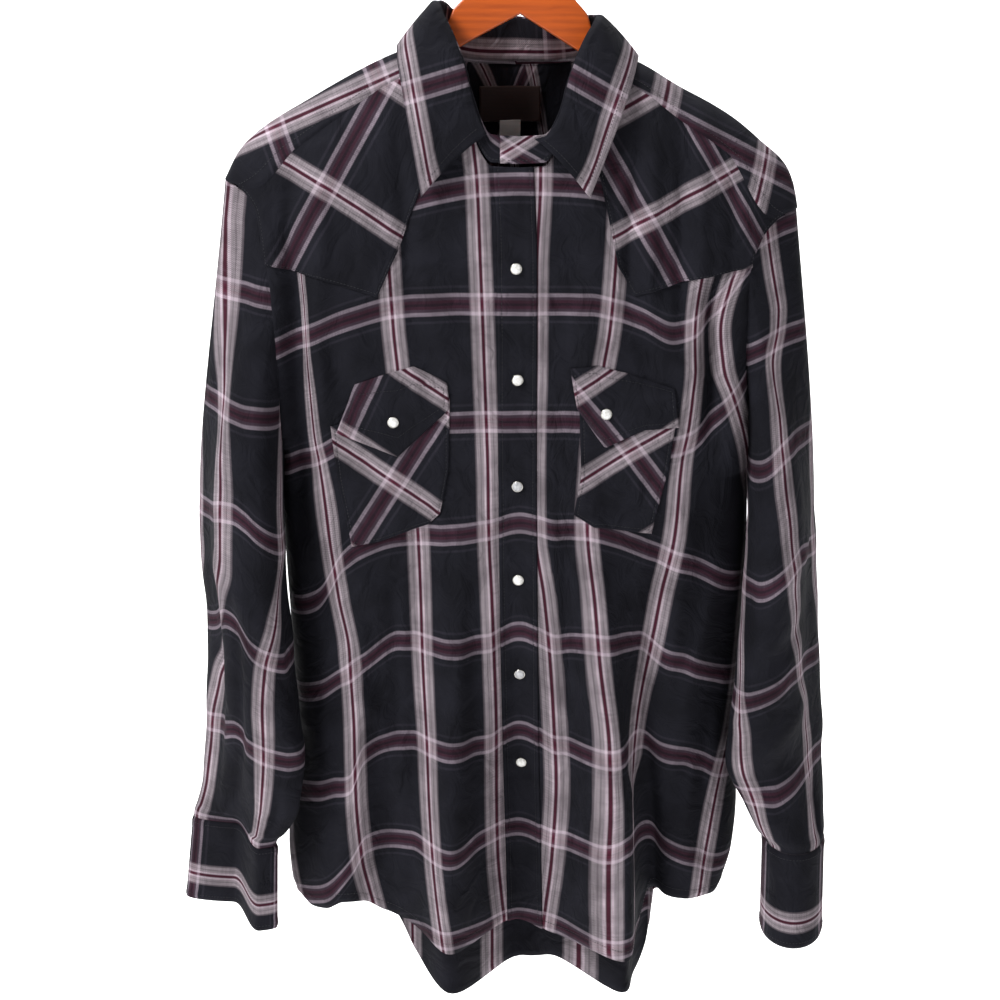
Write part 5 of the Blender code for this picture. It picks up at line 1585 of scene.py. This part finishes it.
# ---------------- sleeves and cuffs
@dataclass(frozen=True)
class Sleeve:
    """A sleeve with its placket and its cuff, flattened and turned as it hangs."""

    side: Side
    # z, middle x, middle y, long half, short half, turn from outward-back, step forward
    sections: Table
    cuff: Table
    # angle and z at one end and at the other, half width, depth outward, where a degree
    # counts as a millimetre
    creases: Table
    # folds: middle angle, half width in degrees, push out, z from, z to
    folds: Table
    # z, angle of the main stripe, angle of the second one, width shown of the main one
    stripes: Table
    # the weft groups by place across: x, z of each downward
    wefts: Table
    cuff_stripe: float
    degree: float = 0.001  # the length that a degree counts as in `creases`
    ripple: float = 0.0006
    ripple_waves: tuple = (3, 40, 60)  # round the sleeve, and radians a metre down of its two
    seam_gap: float = 0.0014  # behind the panel's own outer face
    sewn_in: float = 0.003  # how far inside the armhole's line it starts, and less on top
    sewn_top: float = 0.0035
    cap_share: float = 0.34
    # the cap's curve: slopes where it leaves the seam and where it meets the tube, and reaches
    leave: tuple = (0.12, 0.95)
    arrive: float = 0.05
    reaches: tuple = (0.36, 0.34)
    into_cuff: float = 0.005
    in_cuff: float = 0.0012
    gather: float = 0.016  # height over which the sleeve narrows to the cuff
    lap: float = 30.0  # degrees of the cuff that lie double
    lap_start: float = 285.0
    lap_from: float = 325.0  # degrees at which its lapped end starts to step out
    cuff_step: float = 0.0034
    cuff_wall: float = 0.0018
    cuff_rise: float = 0.001
    cuff_round: float = 0.25  # its plaid: the length round, and where the first group is
    cuff_weft: float = 0.03
    step_from: float = 0.5
    step_share: float = 0.34
    # the placket: degrees from the lap's start and across, heights over the cuff, width
    slit_from: float = 18.0
    slit_turn: float = 24.0
    slit_low: float = 0.002
    slit_high: float = 0.124
    slit_width: float = 0.024
    slit_length: float = 0.12

    @property
    def z_cap(self) -> float:
        """Height at which the cap ends and the sleeve hangs as a tube."""
        return self.sections[0][0]

    @property
    def z_end(self) -> float:
        """Height of its lower edge, inside the cuff."""
        return self.sections[-1][0] - self.into_cuff

    def outward(self, u: Array) -> Array:
        """u counted the same way round on either side of the wearer."""
        return u if self.side == Side.RIGHT else 1 - u

    def section(self, table: Table, angle: Array, z: Array, extra: Array = 0.0) -> Array:
        """Points of a flattened tube."""
        middle_x, middle_y, long_half, short_half, turn, step = (
            read(table, z, k) for k in range(1, 7))
        turn = np.radians(turn)
        at = np.radians(angle) + turn
        far = (long_half + extra) * np.cos(at)
        near = (short_half + extra) * np.sin(at)
        outward = far * np.cos(turn) + near * np.sin(turn)
        forward = near * np.cos(turn) - far * np.sin(turn)
        inward = 0.5 - far / long_half / 2
        forward = forward + step * (smooth((inward - self.step_from) / self.step_share) - 0.5)
        return np.stack([middle_x + self.side * outward, middle_y - forward, z], -1)

    def fold(self, angle: Array, z: Array) -> Array:
        """Push outward of the folds and the small creases."""
        push = relief(self.creases, angle * self.degree, z, 360 * self.degree)
        for middle, half, depth, z_from, z_to in self.folds:
            share = np.clip((z_from - z) / (z_from - z_to), 0.0, 1.0)
            away = (angle - middle + 180) % 360 - 180
            push = push + depth * np.sin(np.pi * share) ** CREASE_END * np.exp(-(away / half) ** 2)
        waves, down, again = self.ripple_waves
        ripple = np.sin(np.radians(angle) * waves + z * down) * np.sin(z * again + self.side)
        return push + self.ripple * ripple

    def armhole(self, angle: Array, inward: float = 0.0) -> Array:
        """The armhole seam: 0 degrees at the shoulder tip, 90 in front, 180 under the arm."""
        turn = np.radians(angle)
        z = mix(BODY.tip_z(self.side), BODY.underarm_z(self.side), (1 - np.cos(turn)) / 2)
        front = np.sin(turn) > 0
        spots = []
        for face in (Face.FRONT, Face.BACK):
            x = BODY.edge_x(face, self.side, z) - self.side * inward
            spot = np.stack([x, BODY.y(face, x, z), z], -1)
            spot[..., 1] -= face * self.seam_gap
            spots.append(spot)
        return np.where(front[..., None], spots[0], spots[1])

    def locate(self, u: Array, v: Array) -> Array:
        """Points from the armhole, out over the shoulder and down to the cuff."""
        angle = 180.0 + 360.0 * self.outward(u)
        down = 1 - v
        tube = np.maximum((down - self.cap_share) / (1 - self.cap_share), 0.0)
        z, z_cuff = mix(self.z_cap, self.z_end, tube), self.cuff[0][0]
        lower = self.section(self.sections, angle, z, self.fold(angle, z))
        cuffed = self.section(self.cuff, angle, np.minimum(z, z_cuff), -self.in_cuff)
        cuffed[..., 2] = z
        lower = mix(lower, cuffed, smooth((z_cuff + self.gather - z) / self.gather)[..., None])
        t = np.minimum(down / self.cap_share, 1.0)[..., None]
        top = np.cos(np.radians(angle))
        start = self.armhole(angle, self.sewn_in - self.sewn_top * smooth(top * 4 - 3))
        z_start = np.full_like(z, self.z_cap)
        end = self.section(self.sections, angle, z_start, self.fold(angle, z_start))
        reach = np.linalg.norm(end - start, axis=-1, keepdims=True)
        share = (1 + top) / 2
        flat = np.zeros_like(share)
        leave = np.stack([self.side * self.leave[0] * share, flat, flat - self.leave[1]], -1)
        arrive = np.stack([-self.side * self.arrive * share, flat, flat + 1.0], -1)
        a, b = start + leave * reach * self.reaches[0], end + arrive * reach * self.reaches[1]
        early, late = (1 - t) ** 2, t * t
        cap = early * ((1 - t) * start + 3 * t * a) + late * (3 * (1 - t) * b + t * end)
        return np.where((down >= self.cap_share)[..., None], lower, cap)

    def thread(self, u: Array, v: Array) -> Array:
        """Thread coordinates: the main stripe where its table says, and true widths from it."""
        spots = self.locate(u, v)
        z = spots[..., 2]
        full, columns, levels = 720.0, 360, 24  # two turns, measured every two degrees
        fine = np.linspace(0.0, full, columns + 1)
        heights = np.linspace(self.sections[-1][0], self.z_cap, levels)
        way = np.zeros((levels, len(fine)))
        for i, height in enumerate(heights):
            ring = self.section(self.sections, fine, np.full_like(fine, height))
            way[i, 1:] = np.cumsum(np.linalg.norm(np.diff(ring, axis=0), axis=1))
        level = np.clip((z - heights[0]) / (heights[-1] - heights[0]), 0, 1) * (levels - 1)

        def arc(at: Array) -> Array:
            low = np.clip(level.astype(int), 0, levels - 2)
            column = np.clip(at / full * columns, 0, columns - 0.001)
            c = column.astype(int)
            values = [mix(way[row, c], way[row, c + 1], column - c) for row in (low, low + 1)]
            return mix(*values, level - low)
        lines = [read(self.stripes, z, k) for k in (1, 2)]
        lines = [arc(line + 360.0 * (line < 180)) for line in lines]
        warp = PLAID.between(arc(180.0 + 360.0 * self.outward(u)), lines, PLAID.warp_repeat,
                             PLAID.group_half, [read(self.stripes, z, 3), 1.0])
        wefts = [-read(self.wefts, spots[..., 0], k) for k in range(1, len(self.wefts[0]))]
        weft = PLAID.between(-z, wefts, PLAID.weft_repeat, PLAID.weft_half)
        return np.stack([warp, weft], -1)

    def cuff_at(self, turned: Array, z: Array, extra: Array = 0.0) -> Array:
        """Points of the cuff, with its lapped end lying outside."""
        lap = self.cuff_step * smooth((turned - self.lap_from) / self.lap)
        return self.section(self.cuff, self.lap_start + turned, z, extra + lap)

    def cuff_panel(self) -> Panel:
        """The cuff: its cloth is turned a quarter, so the stripes run round."""
        z_top, z_low = self.cuff[0][0] + self.cuff_rise, self.cuff[-1][0]

        def turned(u: Array) -> Array:
            return (360.0 + self.lap) * self.outward(u)

        def locate(u: Array, v: Array) -> Array:
            edge = np.minimum(v, 1 - v) * (z_top - z_low)
            return self.cuff_at(turned(u), mix(z_low, z_top, v), EDGE.at(edge))

        def thread(u: Array, v: Array) -> Array:
            across = turned(u) / 360.0 * self.cuff_round + self.cuff_weft
            return np.stack([mix(z_low, z_top, v) - self.cuff_stripe, across], -1)
        return Panel(f"cuff_{self.side.word}", locate, thread, columns=130, rows=30,
                     wall=self.cuff_wall)

    def placket_panel(self, sleeve: Panel) -> Panel:
        """The strip over the slit at the back of the sleeve."""
        z_low = self.sections[-1][0]

        def spot(u: Array, v: Array) -> tuple[Array, Array]:
            angle = self.lap_start + self.slit_from + self.slit_turn * self.outward(u)
            z = mix(z_low + self.slit_low, z_low + self.slit_high, v)
            tube = (self.z_cap - z) / (self.z_cap - self.z_end)
            around = ((angle - 180.0) % 360) / 360.0
            return self.outward(around), 1 - (self.cap_share + (1 - self.cap_share) * tube)

        def locate(u: Array, v: Array) -> Array:
            edge = np.minimum(np.minimum(u, 1 - u) * self.slit_width, (1 - v) * self.slit_length)
            return sleeve.lifted(*spot(u, v), BODY.lift + EDGE.at(edge))

        def thread(u: Array, v: Array) -> Array:
            return np.stack([u * self.slit_width + self.cuff_weft, v * self.slit_length], -1)
        return Panel(f"sleeve_placket_{self.side.word}", locate, thread, columns=16, rows=50)

    def build(self) -> None:
        """Builds the sleeve, its placket and its cuff, and sews them."""
        word = self.side.word
        sewing = Stitching(f"sleeve_{word}_stitching")
        sleeve = Panel(f"sleeve_{word}", self.locate, self.thread, columns=120, rows=190,
                       closed=True)
        sleeve.build(flat=(0.42, 0.62), area=0.185)
        cuff, placket = self.cuff_panel(), self.placket_panel(sleeve)
        cuff.build(flat=(0.28, 0.09), held="folded")
        placket.build(flat=(0.018, 0.122), held="folded")
        sewing.on(cuff, [(0.01, 0.06), (0.01, 0.94), (0.99, 0.94), (0.99, 0.06), (0.01, 0.06)],
                  count=500)
        sewing.on(placket, [(0.12, 0.01), (0.12, 0.95), (0.88, 0.95), (0.88, 0.01)], count=200)
        sewing.build()


SLEEVES = (
    Sleeve(
        Side.RIGHT,
        sections=(
            (-0.56, -0.265, -0.01, 0.083, 0.035, 67.0, 0.0),
            (-0.61, -0.2655, -0.012, 0.08, 0.037, 66.0, 0.0),
            (-0.7, -0.2605, -0.015, 0.075, 0.035, 59.0, 0.004),
            (-0.79, -0.2605, -0.02, 0.068, 0.032, 44.0, 0.014),
            (-0.85, -0.266, -0.025, 0.059, 0.026, 30.0, 0.032),
            (-0.892, -0.282, -0.024, 0.0455, 0.018, 9.0, 0.054)),
        cuff=(
            (-0.893, -0.2825, -0.024, 0.047, 0.0145, 6.0, 0.055),
            (-0.977, -0.2885, -0.03, 0.0505, 0.0125, 3.0, 0.058)),
        creases=mm(
            (72, -610, 58, -892, 6, -7), (55, -620, 42, -880, 7, 3.6),
            (40, -600, 110, -680, 12, 3.6), (90, -690, 150, -740, 10, -3.4),
            (80, -740, 150, -800, 12, 3.4), (0, -700, 50, -760, 10, -3),
            (110, -820, 120, -892, 7, -4), (30, -420, 60, -600, 12, 2.8),
            (240, -580, 300, -700, 12, 3), (220, -700, 290, -780, 12, -3),
            (260, -760, 330, -860, 12, 2.6)),
        folds=(
            (18, 24, -0.012, -0.52, -0.88), (75, 30, 0.006, -0.48, -0.86),
            (150, 26, -0.007, -0.6, -0.78), (262, 30, -0.009, -0.5, -0.88)),
        stripes=(
            (-0.3, 370.0, 480.0, 1.9), (-0.363, 376.0, 485.0, 1.9),
            (-0.417, 384.0, 490.0, 1.8), (-0.46, 397.0, 497.0, 1.7),
            (-0.502, 411.0, 503.0, 1.6), (-0.545, 419.0, 508.0, 1.6),
            (-0.606, 419.0, 508.0, 1.6), (-0.654, 404.0, 484.0, 1.6),
            (-0.7, 386.0, 458.0, 1.6), (-0.746, 370.0, 451.0, 1.6),
            (-0.8, 362.0, 450.0, 1.6), (-0.853, 366.0, 454.0, 1.6),
            (-0.89, 380.0, 474.0, 1.4)),
        wefts=mm(
            (-310, -359, -463, -571, -690, -792, -895),
            (-295, -360, -463, -568, -683, -787, -895),
            (-273, -361, -465, -556, -658, -775, -895),
            (-261, -362, -467, -555, -665, -784, -895),
            (-249, -363, -470, -561, -683, -788, -895),
            (-240, -365, -471, -570, -690, -791, -895),
            (-220, -369, -475, -588, -700, -796, -895)),
        cuff_stripe=-0.95),
    Sleeve(
        Side.LEFT,
        sections=(
            (-0.57, 0.2425, -0.01, 0.082, 0.03, 74.0, 0.0),
            (-0.61, 0.243, -0.012, 0.08, 0.032, 71.0, 0.0),
            (-0.7, 0.2435, -0.015, 0.075, 0.033, 62.0, 0.0),
            (-0.77, 0.2445, -0.018, 0.071, 0.033, 53.0, 0.0),
            (-0.805, 0.2445, -0.02, 0.068, 0.033, 47.0, 0.0),
            (-0.85, 0.2545, -0.024, 0.061, 0.033, 58.0, 0.0),
            (-0.892, 0.264, -0.03, 0.051, 0.032, 78.0, 0.0)),
        cuff=(
            (-0.893, 0.2645, -0.03, 0.048, 0.03, 80.0, 0.0),
            (-0.987, 0.265, -0.038, 0.048, 0.0305, 80.0, 0.0)),
        creases=mm(
            (30, -580, 110, -640, 12, 4), (40, -660, 120, -720, 11, -4.2),
            (30, -740, 110, -800, 12, 4), (60, -800, 140, -860, 11, -4),
            (52, -400, 70, -560, 10, 3.6), (36, -420, 46, -580, 8, -4),
            (30, -830, 40, -892, 7, -4), (240, -600, 300, -720, 12, 3),
            (220, -720, 300, -820, 12, -3)),
        folds=(
            (24, 22, -0.007, -0.54, -0.86), (80, 28, 0.006, -0.44, -0.84),
            (140, 26, -0.008, -0.58, -0.76), (268, 30, -0.009, -0.52, -0.88)),
        stripes=(
            (-0.3, 390.0, 530.0, 1.0), (-0.372, 389.0, 530.0, 1.0),
            (-0.394, 393.0, 530.0, 1.0), (-0.426, 408.0, 530.0, 1.2),
            (-0.469, 421.0, 530.0, 1.2), (-0.5, 432.0, 530.0, 1.0),
            (-0.542, 440.0, 530.0, 1.0), (-0.601, 433.0, 530.0, 1.0),
            (-0.654, 421.0, 528.0, 1.0), (-0.711, 407.0, 514.0, 1.1),
            (-0.771, 391.0, 487.0, 1.2), (-0.82, 392.0, 478.0, 1.1),
            (-0.853, 400.0, 490.0, 1.0), (-0.89, 412.0, 500.0, 1.0)),
        wefts=mm(
            (200, -418, -528, -634, -741, -836, -930), (213, -411, -518, -628, -734, -834, -930),
            (235, -402, -499, -611, -724, -834, -930),
            (252, -399, -494, -596, -715.5, -829, -930),
            (270, -397, -494, -604, -717, -820, -930), (285, -396, -494, -608, -718, -815, -930)),
        cuff_stripe=-0.961),
)


# ---------------- snaps
@dataclass(frozen=True)
class Snaps:
    """Pearl snaps: a domed cap held in a thin metal rim, pressed through the cloth."""

    radius: float = 0.0052
    height: float = 0.0034
    # distance from the middle and height, over the snap's radius and height
    dome: Table = ((0.0, 1.0), (0.3, 0.97), (0.55, 0.88), (0.74, 0.72), (0.84, 0.52),
                   (0.86, 0.3))
    rim: Table = ((0.82, 0.3), (0.86, 0.5), (0.92, 0.54), (0.98, 0.44), (1.0, 0.24),
                  (0.98, 0.0), (0.8, 0.0))
    front_heights: tuple = (-0.3392, -0.4377, -0.5351, -0.6244, -0.7205, -0.816)
    # front snaps drawn in the darker pearl, as painted shade where they lie in shadow
    shaded_snaps: tuple = (3, 5)
    flaps: tuple = ((Side.RIGHT, -0.1175, -0.4757), (Side.LEFT, 0.0725, -0.4684))  # x, z
    cuff_drops: tuple = (0.022, 0.062)
    cuff_angle: float = 375.0  # degrees round from the start of the cuff, on its lap
    out: float = 0.003  # how far out, round and up a normal is measured
    turn: float = 2.0
    up: float = 0.002

    def snap(self, name: str, spot: Array, normal: Array, pearl: PearlCap = PEARL) -> None:
        """One snap whose rim stands on the cloth.

        Args:
            name: the solid that it stands for.
            spot: its middle on the cloth.
            normal: the way out of the cloth.
            pearl: the cap's finish.
        """
        place = Vector(normal).to_track_quat("Z", "Y").to_matrix().to_4x4()
        place.translation = Vector(spot)
        for part, profile, kind in (("cap", self.dome, pearl), ("rim", self.rim, NICKEL)):
            bm = spun([(share * self.radius, rise * self.height) for share, rise in profile])
            top = max(bm.faces, key=lambda face: face.calc_center_median().z)
            if top.normal.z < 0:
                bmesh.ops.reverse_faces(bm, faces=bm.faces)
            bmesh.ops.transform(bm, matrix=place, verts=bm.verts)
            replaced = (name,) if part == "cap" else ()
            place_piece(f"{name}_{part}", bm, finish(kind), "pearl_snap", replaced)

    def on_front(self, name: str, x: float, z: float, layers: int, pearl: PearlCap) -> None:
        """A snap on what lies over a front."""
        base, out = (BODY.at(Face.FRONT, x, z, layers * BODY.lift + rise)
                     for rise in (0.0, self.out))
        self.snap(name, base, out - base, pearl)

    def on_cuff(self, name: str, sleeve: Sleeve, drop: float) -> None:
        """A snap on the lap of a cuff."""
        z, angle = np.array([sleeve.cuff[0][0] - drop]), np.array([self.cuff_angle])
        spot = sleeve.cuff_at(angle, z)
        ahead = sleeve.cuff_at(angle + self.turn, z) - sleeve.cuff_at(angle - self.turn, z)
        normal = unit(np.cross(ahead, sleeve.cuff_at(angle, z + self.up) - spot)) * -sleeve.side
        self.snap(name, spot[0], normal[0])

    def build(self) -> None:
        """Builds the snaps of the front, the flaps and the cuffs."""
        for number, z in enumerate(self.front_heights, 1):
            self.on_front(f"snap_front_{number}", float(read(BODY.centre, z)), z, 1,
                          SHADED_PEARL if number in self.shaded_snaps else PEARL)
        for side, x, z in self.flaps:
            self.on_front(f"snap_flap_{side.word}", x, z, 2, PEARL)
        for sleeve in SLEEVES:
            for number, drop in enumerate(self.cuff_drops, 1):
                self.on_cuff(f"snap_cuff_{sleeve.side.word}_{number}", sleeve, drop)


# ---------------- label
@dataclass(frozen=True)
class NeckPatch:
    """A plain label or tab on the inside of the back of the neck."""

    name: str
    low: float
    high: float
    half: float
    lift: float  # from the back's outer face
    cloth: PlainCloth
    slot: str
    flat: tuple[float, float]
    middle_x: float = -0.013
    wall: float = 0.0006
    puff: float = 0.0008  # how far its middle stands off

    def build(self) -> None:
        """Builds it as a cloth piece."""
        def locate(u: Array, v: Array) -> Array:
            x = self.middle_x + (2 * u - 1) * self.half
            puff = self.puff * np.sin(np.pi * u) * np.sin(np.pi * v)
            return BODY.at(Face.BACK, x, mix(self.low, self.high, v), self.lift - puff)

        def thread(u: Array, v: Array) -> Array:
            return np.stack([u * 2 * self.half, v * (self.high - self.low)], -1)
        Panel(self.name, locate, thread, columns=30, rows=20, wall=self.wall, cloth=self.cloth,
              slot=self.slot).build(flat=self.flat, held="laid")


NECK_PATCHES = (
    NeckPatch("neck_label", -0.218, -0.186, 0.0285, -0.003, LABEL_CLOTH, "label_cloth",
              (0.057, 0.032)),
    NeckPatch("size_tab", -0.231, -0.2165, 0.01, -0.0048, TAB_CLOTH, "tab_cloth",
              (0.02, 0.0145)))


# ---------------- hanger
@dataclass(frozen=True)
class Hanger:
    """A flat shaped wooden hanger and its wire hook."""

    tilt: float = 2.0  # degrees, the wearer's left end lower
    thick: float = 0.012
    edge: float = 0.004
    # right half of the outline in the hanger's own frame: x, z
    top: Table = mm(
        (0, -80), (18, -83), (34, -96.5), (48, -112.5), (62.2, -129.5), (64, -142), (69, -157.5),
        (84, -166.5), (108, -176.5), (140, -191.5), (170, -207.5), (190, -220), (205, -230.5))
    tip: Table = mm((212, -236), (213, -243), (209, -247))
    under: Table = mm((190, -236), (150, -213), (108, -190), (56, -157), (0, -125))
    columns: int = 40  # of half the outline
    sharp: float = 60.0  # degrees between faces whose edge is rounded
    wire: float = 0.004
    hook_radius: float = 0.022
    # the hook's line up to where the round crown starts, and the crown's angles
    foot: Table = mm(
        (0, -96), (0, -72), (0, -60), (-2, -53), (-7.5, -45), (-14.5, -38), (-18.8, -31.8))
    crown: tuple = (205, -50, -5)
    # the ferrule's radius and height over the wood
    ferrule_line: Table = mm((2.2, 2.7), (3.4, 2.5), (4.2, 1.7), (4.4, 0.5), (4.4, -1.5))

    def in_place(self, x: float, z: float, y: float = 0.0) -> Vector:
        """A point of the hanger's own frame, tilted about the crown."""
        turn = math.radians(self.tilt)
        return Vector((x * math.cos(turn) + z * math.sin(turn), y,
                       z * math.cos(turn) - x * math.sin(turn)))

    def body(self) -> None:
        """The wood: the outline filled, given its thickness and rounded edges."""
        bm = bmesh.new()
        across = np.linspace(0.0, self.under[0][0], self.columns)
        across = np.concatenate((-across[:0:-1], across))
        rows = [[bm.verts.new(self.in_place(x, z, self.thick / 2)) for x, z in
                 zip(across, read(table, np.abs(across)))] for table in (self.top, self.under)]
        for k in range(len(across) - 1):
            bm.faces.new((rows[0][k], rows[0][k + 1], rows[1][k + 1], rows[1][k]))
        for side, k in ((1, -1), (-1, 0)):
            tip = [bm.verts.new(self.in_place(side * x, z, self.thick / 2))
                   for x, z in (self.top[-1], *self.tip)]
            bm.faces.new((rows[0][k], *tip, rows[1][k]))
        bmesh.ops.recalc_face_normals(bm, faces=bm.faces)
        grown = bmesh.ops.extrude_face_region(bm, geom=bm.faces[:])
        moved = [item for item in grown["geom"] if isinstance(item, bmesh.types.BMVert)]
        bmesh.ops.translate(bm, verts=moved, vec=(0.0, -self.thick, 0.0))
        bmesh.ops.recalc_face_normals(bm, faces=bm.faces)
        rims = [edge for edge in bm.edges if len(edge.link_faces) == 2
                and edge.calc_face_angle(0.0) > math.radians(self.sharp)]
        bmesh.ops.bevel(bm, geom=rims, offset=self.edge, segments=5, profile=0.5,
                        affect="EDGES", material=-1, clamp_overlap=True)
        piece = place_piece("hanger_body_wood", bm, finish(WOOD), "varnished_wood",
                            ("hanger_body",))
        piece.data.set_sharp_from_angle(angle=math.radians(50))

    def hook(self) -> None:
        """The hook: a straight foot, a bend, a round crown, and a rounded end."""
        middle_z = self.wire / 2 - self.hook_radius
        turns = [math.radians(a) for a in range(*self.crown)]
        line = list(self.foot) + [(self.hook_radius * math.cos(a),
                                   middle_z + self.hook_radius * math.sin(a)) for a in turns]
        curve = bpy.data.curves.new("hook line", "CURVE")
        curve.dimensions = "3D"
        spline = curve.splines.new("POLY")
        spline.points.add(len(line) - 1)
        for knot, (x, z) in zip(spline.points, line):
            knot.co = (*self.in_place(x, z), 1.0)
        curve.bevel_depth = self.wire / 2
        curve.bevel_resolution = 5
        curve.use_fill_caps = True
        item = add_object("hook line", curve)
        bpy.context.view_layer.update()
        solid = bpy.data.meshes.new_from_object(
            item.evaluated_get(bpy.context.evaluated_depsgraph_get()))
        bpy.data.objects.remove(item)
        bm = bmesh.new()
        bm.from_mesh(solid)
        bmesh.ops.remove_doubles(bm, verts=bm.verts, dist=1e-6)
        place_piece("hanger_hook_wire", bm, finish(CHROME), "chromed_wire", ("hanger_hook",))

    def ferrule(self) -> None:
        """The small metal collar where the hook enters the wood."""
        bm = spun(self.ferrule_line)
        for vert in bm.verts:
            vert.co = self.in_place(vert.co.x, vert.co.z + self.top[0][1], vert.co.y)
        place_piece("hanger_ferrule", bm, finish(NICKEL), "chromed_wire")

    def build(self) -> None:
        """Builds the wood, the hook and its ferrule."""
        self.body()
        self.hook()
        self.ferrule()


# ---------------- studio
@dataclass(frozen=True)
class Studio:
    """A pale paper sweep, soft light, and the camera in front and above."""

    camera_at: tuple = (-0.022, -1.47, -0.17)
    pitch: float = 15.0
    lens: float = 58.104
    floor_z: float = -1.35
    wall_y: float = 5.0
    sweep: float = 1.0
    near_y: float = -4.0
    half: float = 5.0
    high: float = 4.0
    ambient: float = 0.14
    # name, place, size, power and what it looks at
    lamps: tuple = (("key", (-1.7, -1.3, 1.4), 0.9, 90.0, (0.0, 0.0, -0.55)),
                    ("fill", (1.8, -2.0, 0.1), 2.0, 5.0, (0.0, 0.0, -0.55)),
                    ("top", (0.2, 0.4, 1.6), 1.4, 8.0, (0.0, 0.0, -0.55)),
                    ("paper light", (0.0, 0.9, 1.4), 2.0, 60.0, (0.0, 2.0, -1.3)))

    def paper(self) -> None:
        """The floor and its sweep up behind."""
        bm = bmesh.new()
        profile = [(self.near_y, 0.0), (self.wall_y - self.sweep, 0.0)]
        profile += [(self.wall_y - self.sweep * (1 - math.sin(math.radians(a))),
                     self.sweep * (1 - math.cos(math.radians(a)))) for a in range(10, 91, 10)]
        profile.append((self.wall_y, self.high))
        line = [bm.verts.new((-self.half, y, self.floor_z + z)) for y, z in profile]
        edges = [bm.edges.new(pair) for pair in zip(line, line[1:])]
        grown = bmesh.ops.extrude_edge_only(bm, edges=edges)
        moved = [item for item in grown["geom"] if isinstance(item, bmesh.types.BMVert)]
        bmesh.ops.translate(bm, verts=moved, vec=(2 * self.half, 0.0, 0.0))
        bmesh.ops.recalc_face_normals(bm, faces=bm.faces)
        paper = add_mesh("studio_paper", bm, finish(StudioPaper()))

    def lamp(self, name: str, at: tuple, size: float, power: float, aim: tuple) -> None:
        """A square area light."""
        light = bpy.data.lights.new(name, "AREA")
        light.size = size
        light.energy = power
        item = add_object(name, light)
        item.location = at
        item.rotation_euler = (Vector(aim) - Vector(at)).to_track_quat("-Z", "Y").to_euler()

    def build(self) -> None:
        """Builds the paper, the lights and the camera."""
        self.paper()
        for lamp in self.lamps:
            self.lamp(*lamp)
        world = bpy.data.worlds.new("pale studio")
        world.use_nodes = True
        background = world.node_tree.nodes["Background"]
        background.inputs["Color"].default_value = (1.0, 1.0, 1.0, 1.0)
        background.inputs["Strength"].default_value = self.ambient
        bpy.context.scene.world = world
        bpy.context.scene.view_settings.view_transform = "Standard"
        camera = bpy.data.cameras.new("camera")
        camera.lens = self.lens
        camera.sensor_width = 36.0
        item = add_object("camera", camera)
        item.location = self.camera_at
        item.rotation_euler = (math.radians(90.0 - self.pitch), 0.0, 0.0)
        bpy.context.scene.camera = item


def main() -> None:
    """Builds the shirt, its hanger and the studio."""
    logging.basicConfig(level=logging.INFO, format="%(name)s %(message)s")
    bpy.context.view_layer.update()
    Hanger().build()
    FRONTS.build()
    sewing = Stitching("chest_stitching")
    for side in Side:
        front_yoke(side).build(sewing)
    for overlay in OVERLAYS:
        overlay.build(sewing)
    sewing.build()
    Back().build()
    Collar().build()
    for sleeve in SLEEVES:
        sleeve.build()
    for patch in NECK_PATCHES:
        patch.build()
    Snaps().build()
    Studio().build()


if __name__ == "__main__":
    main()
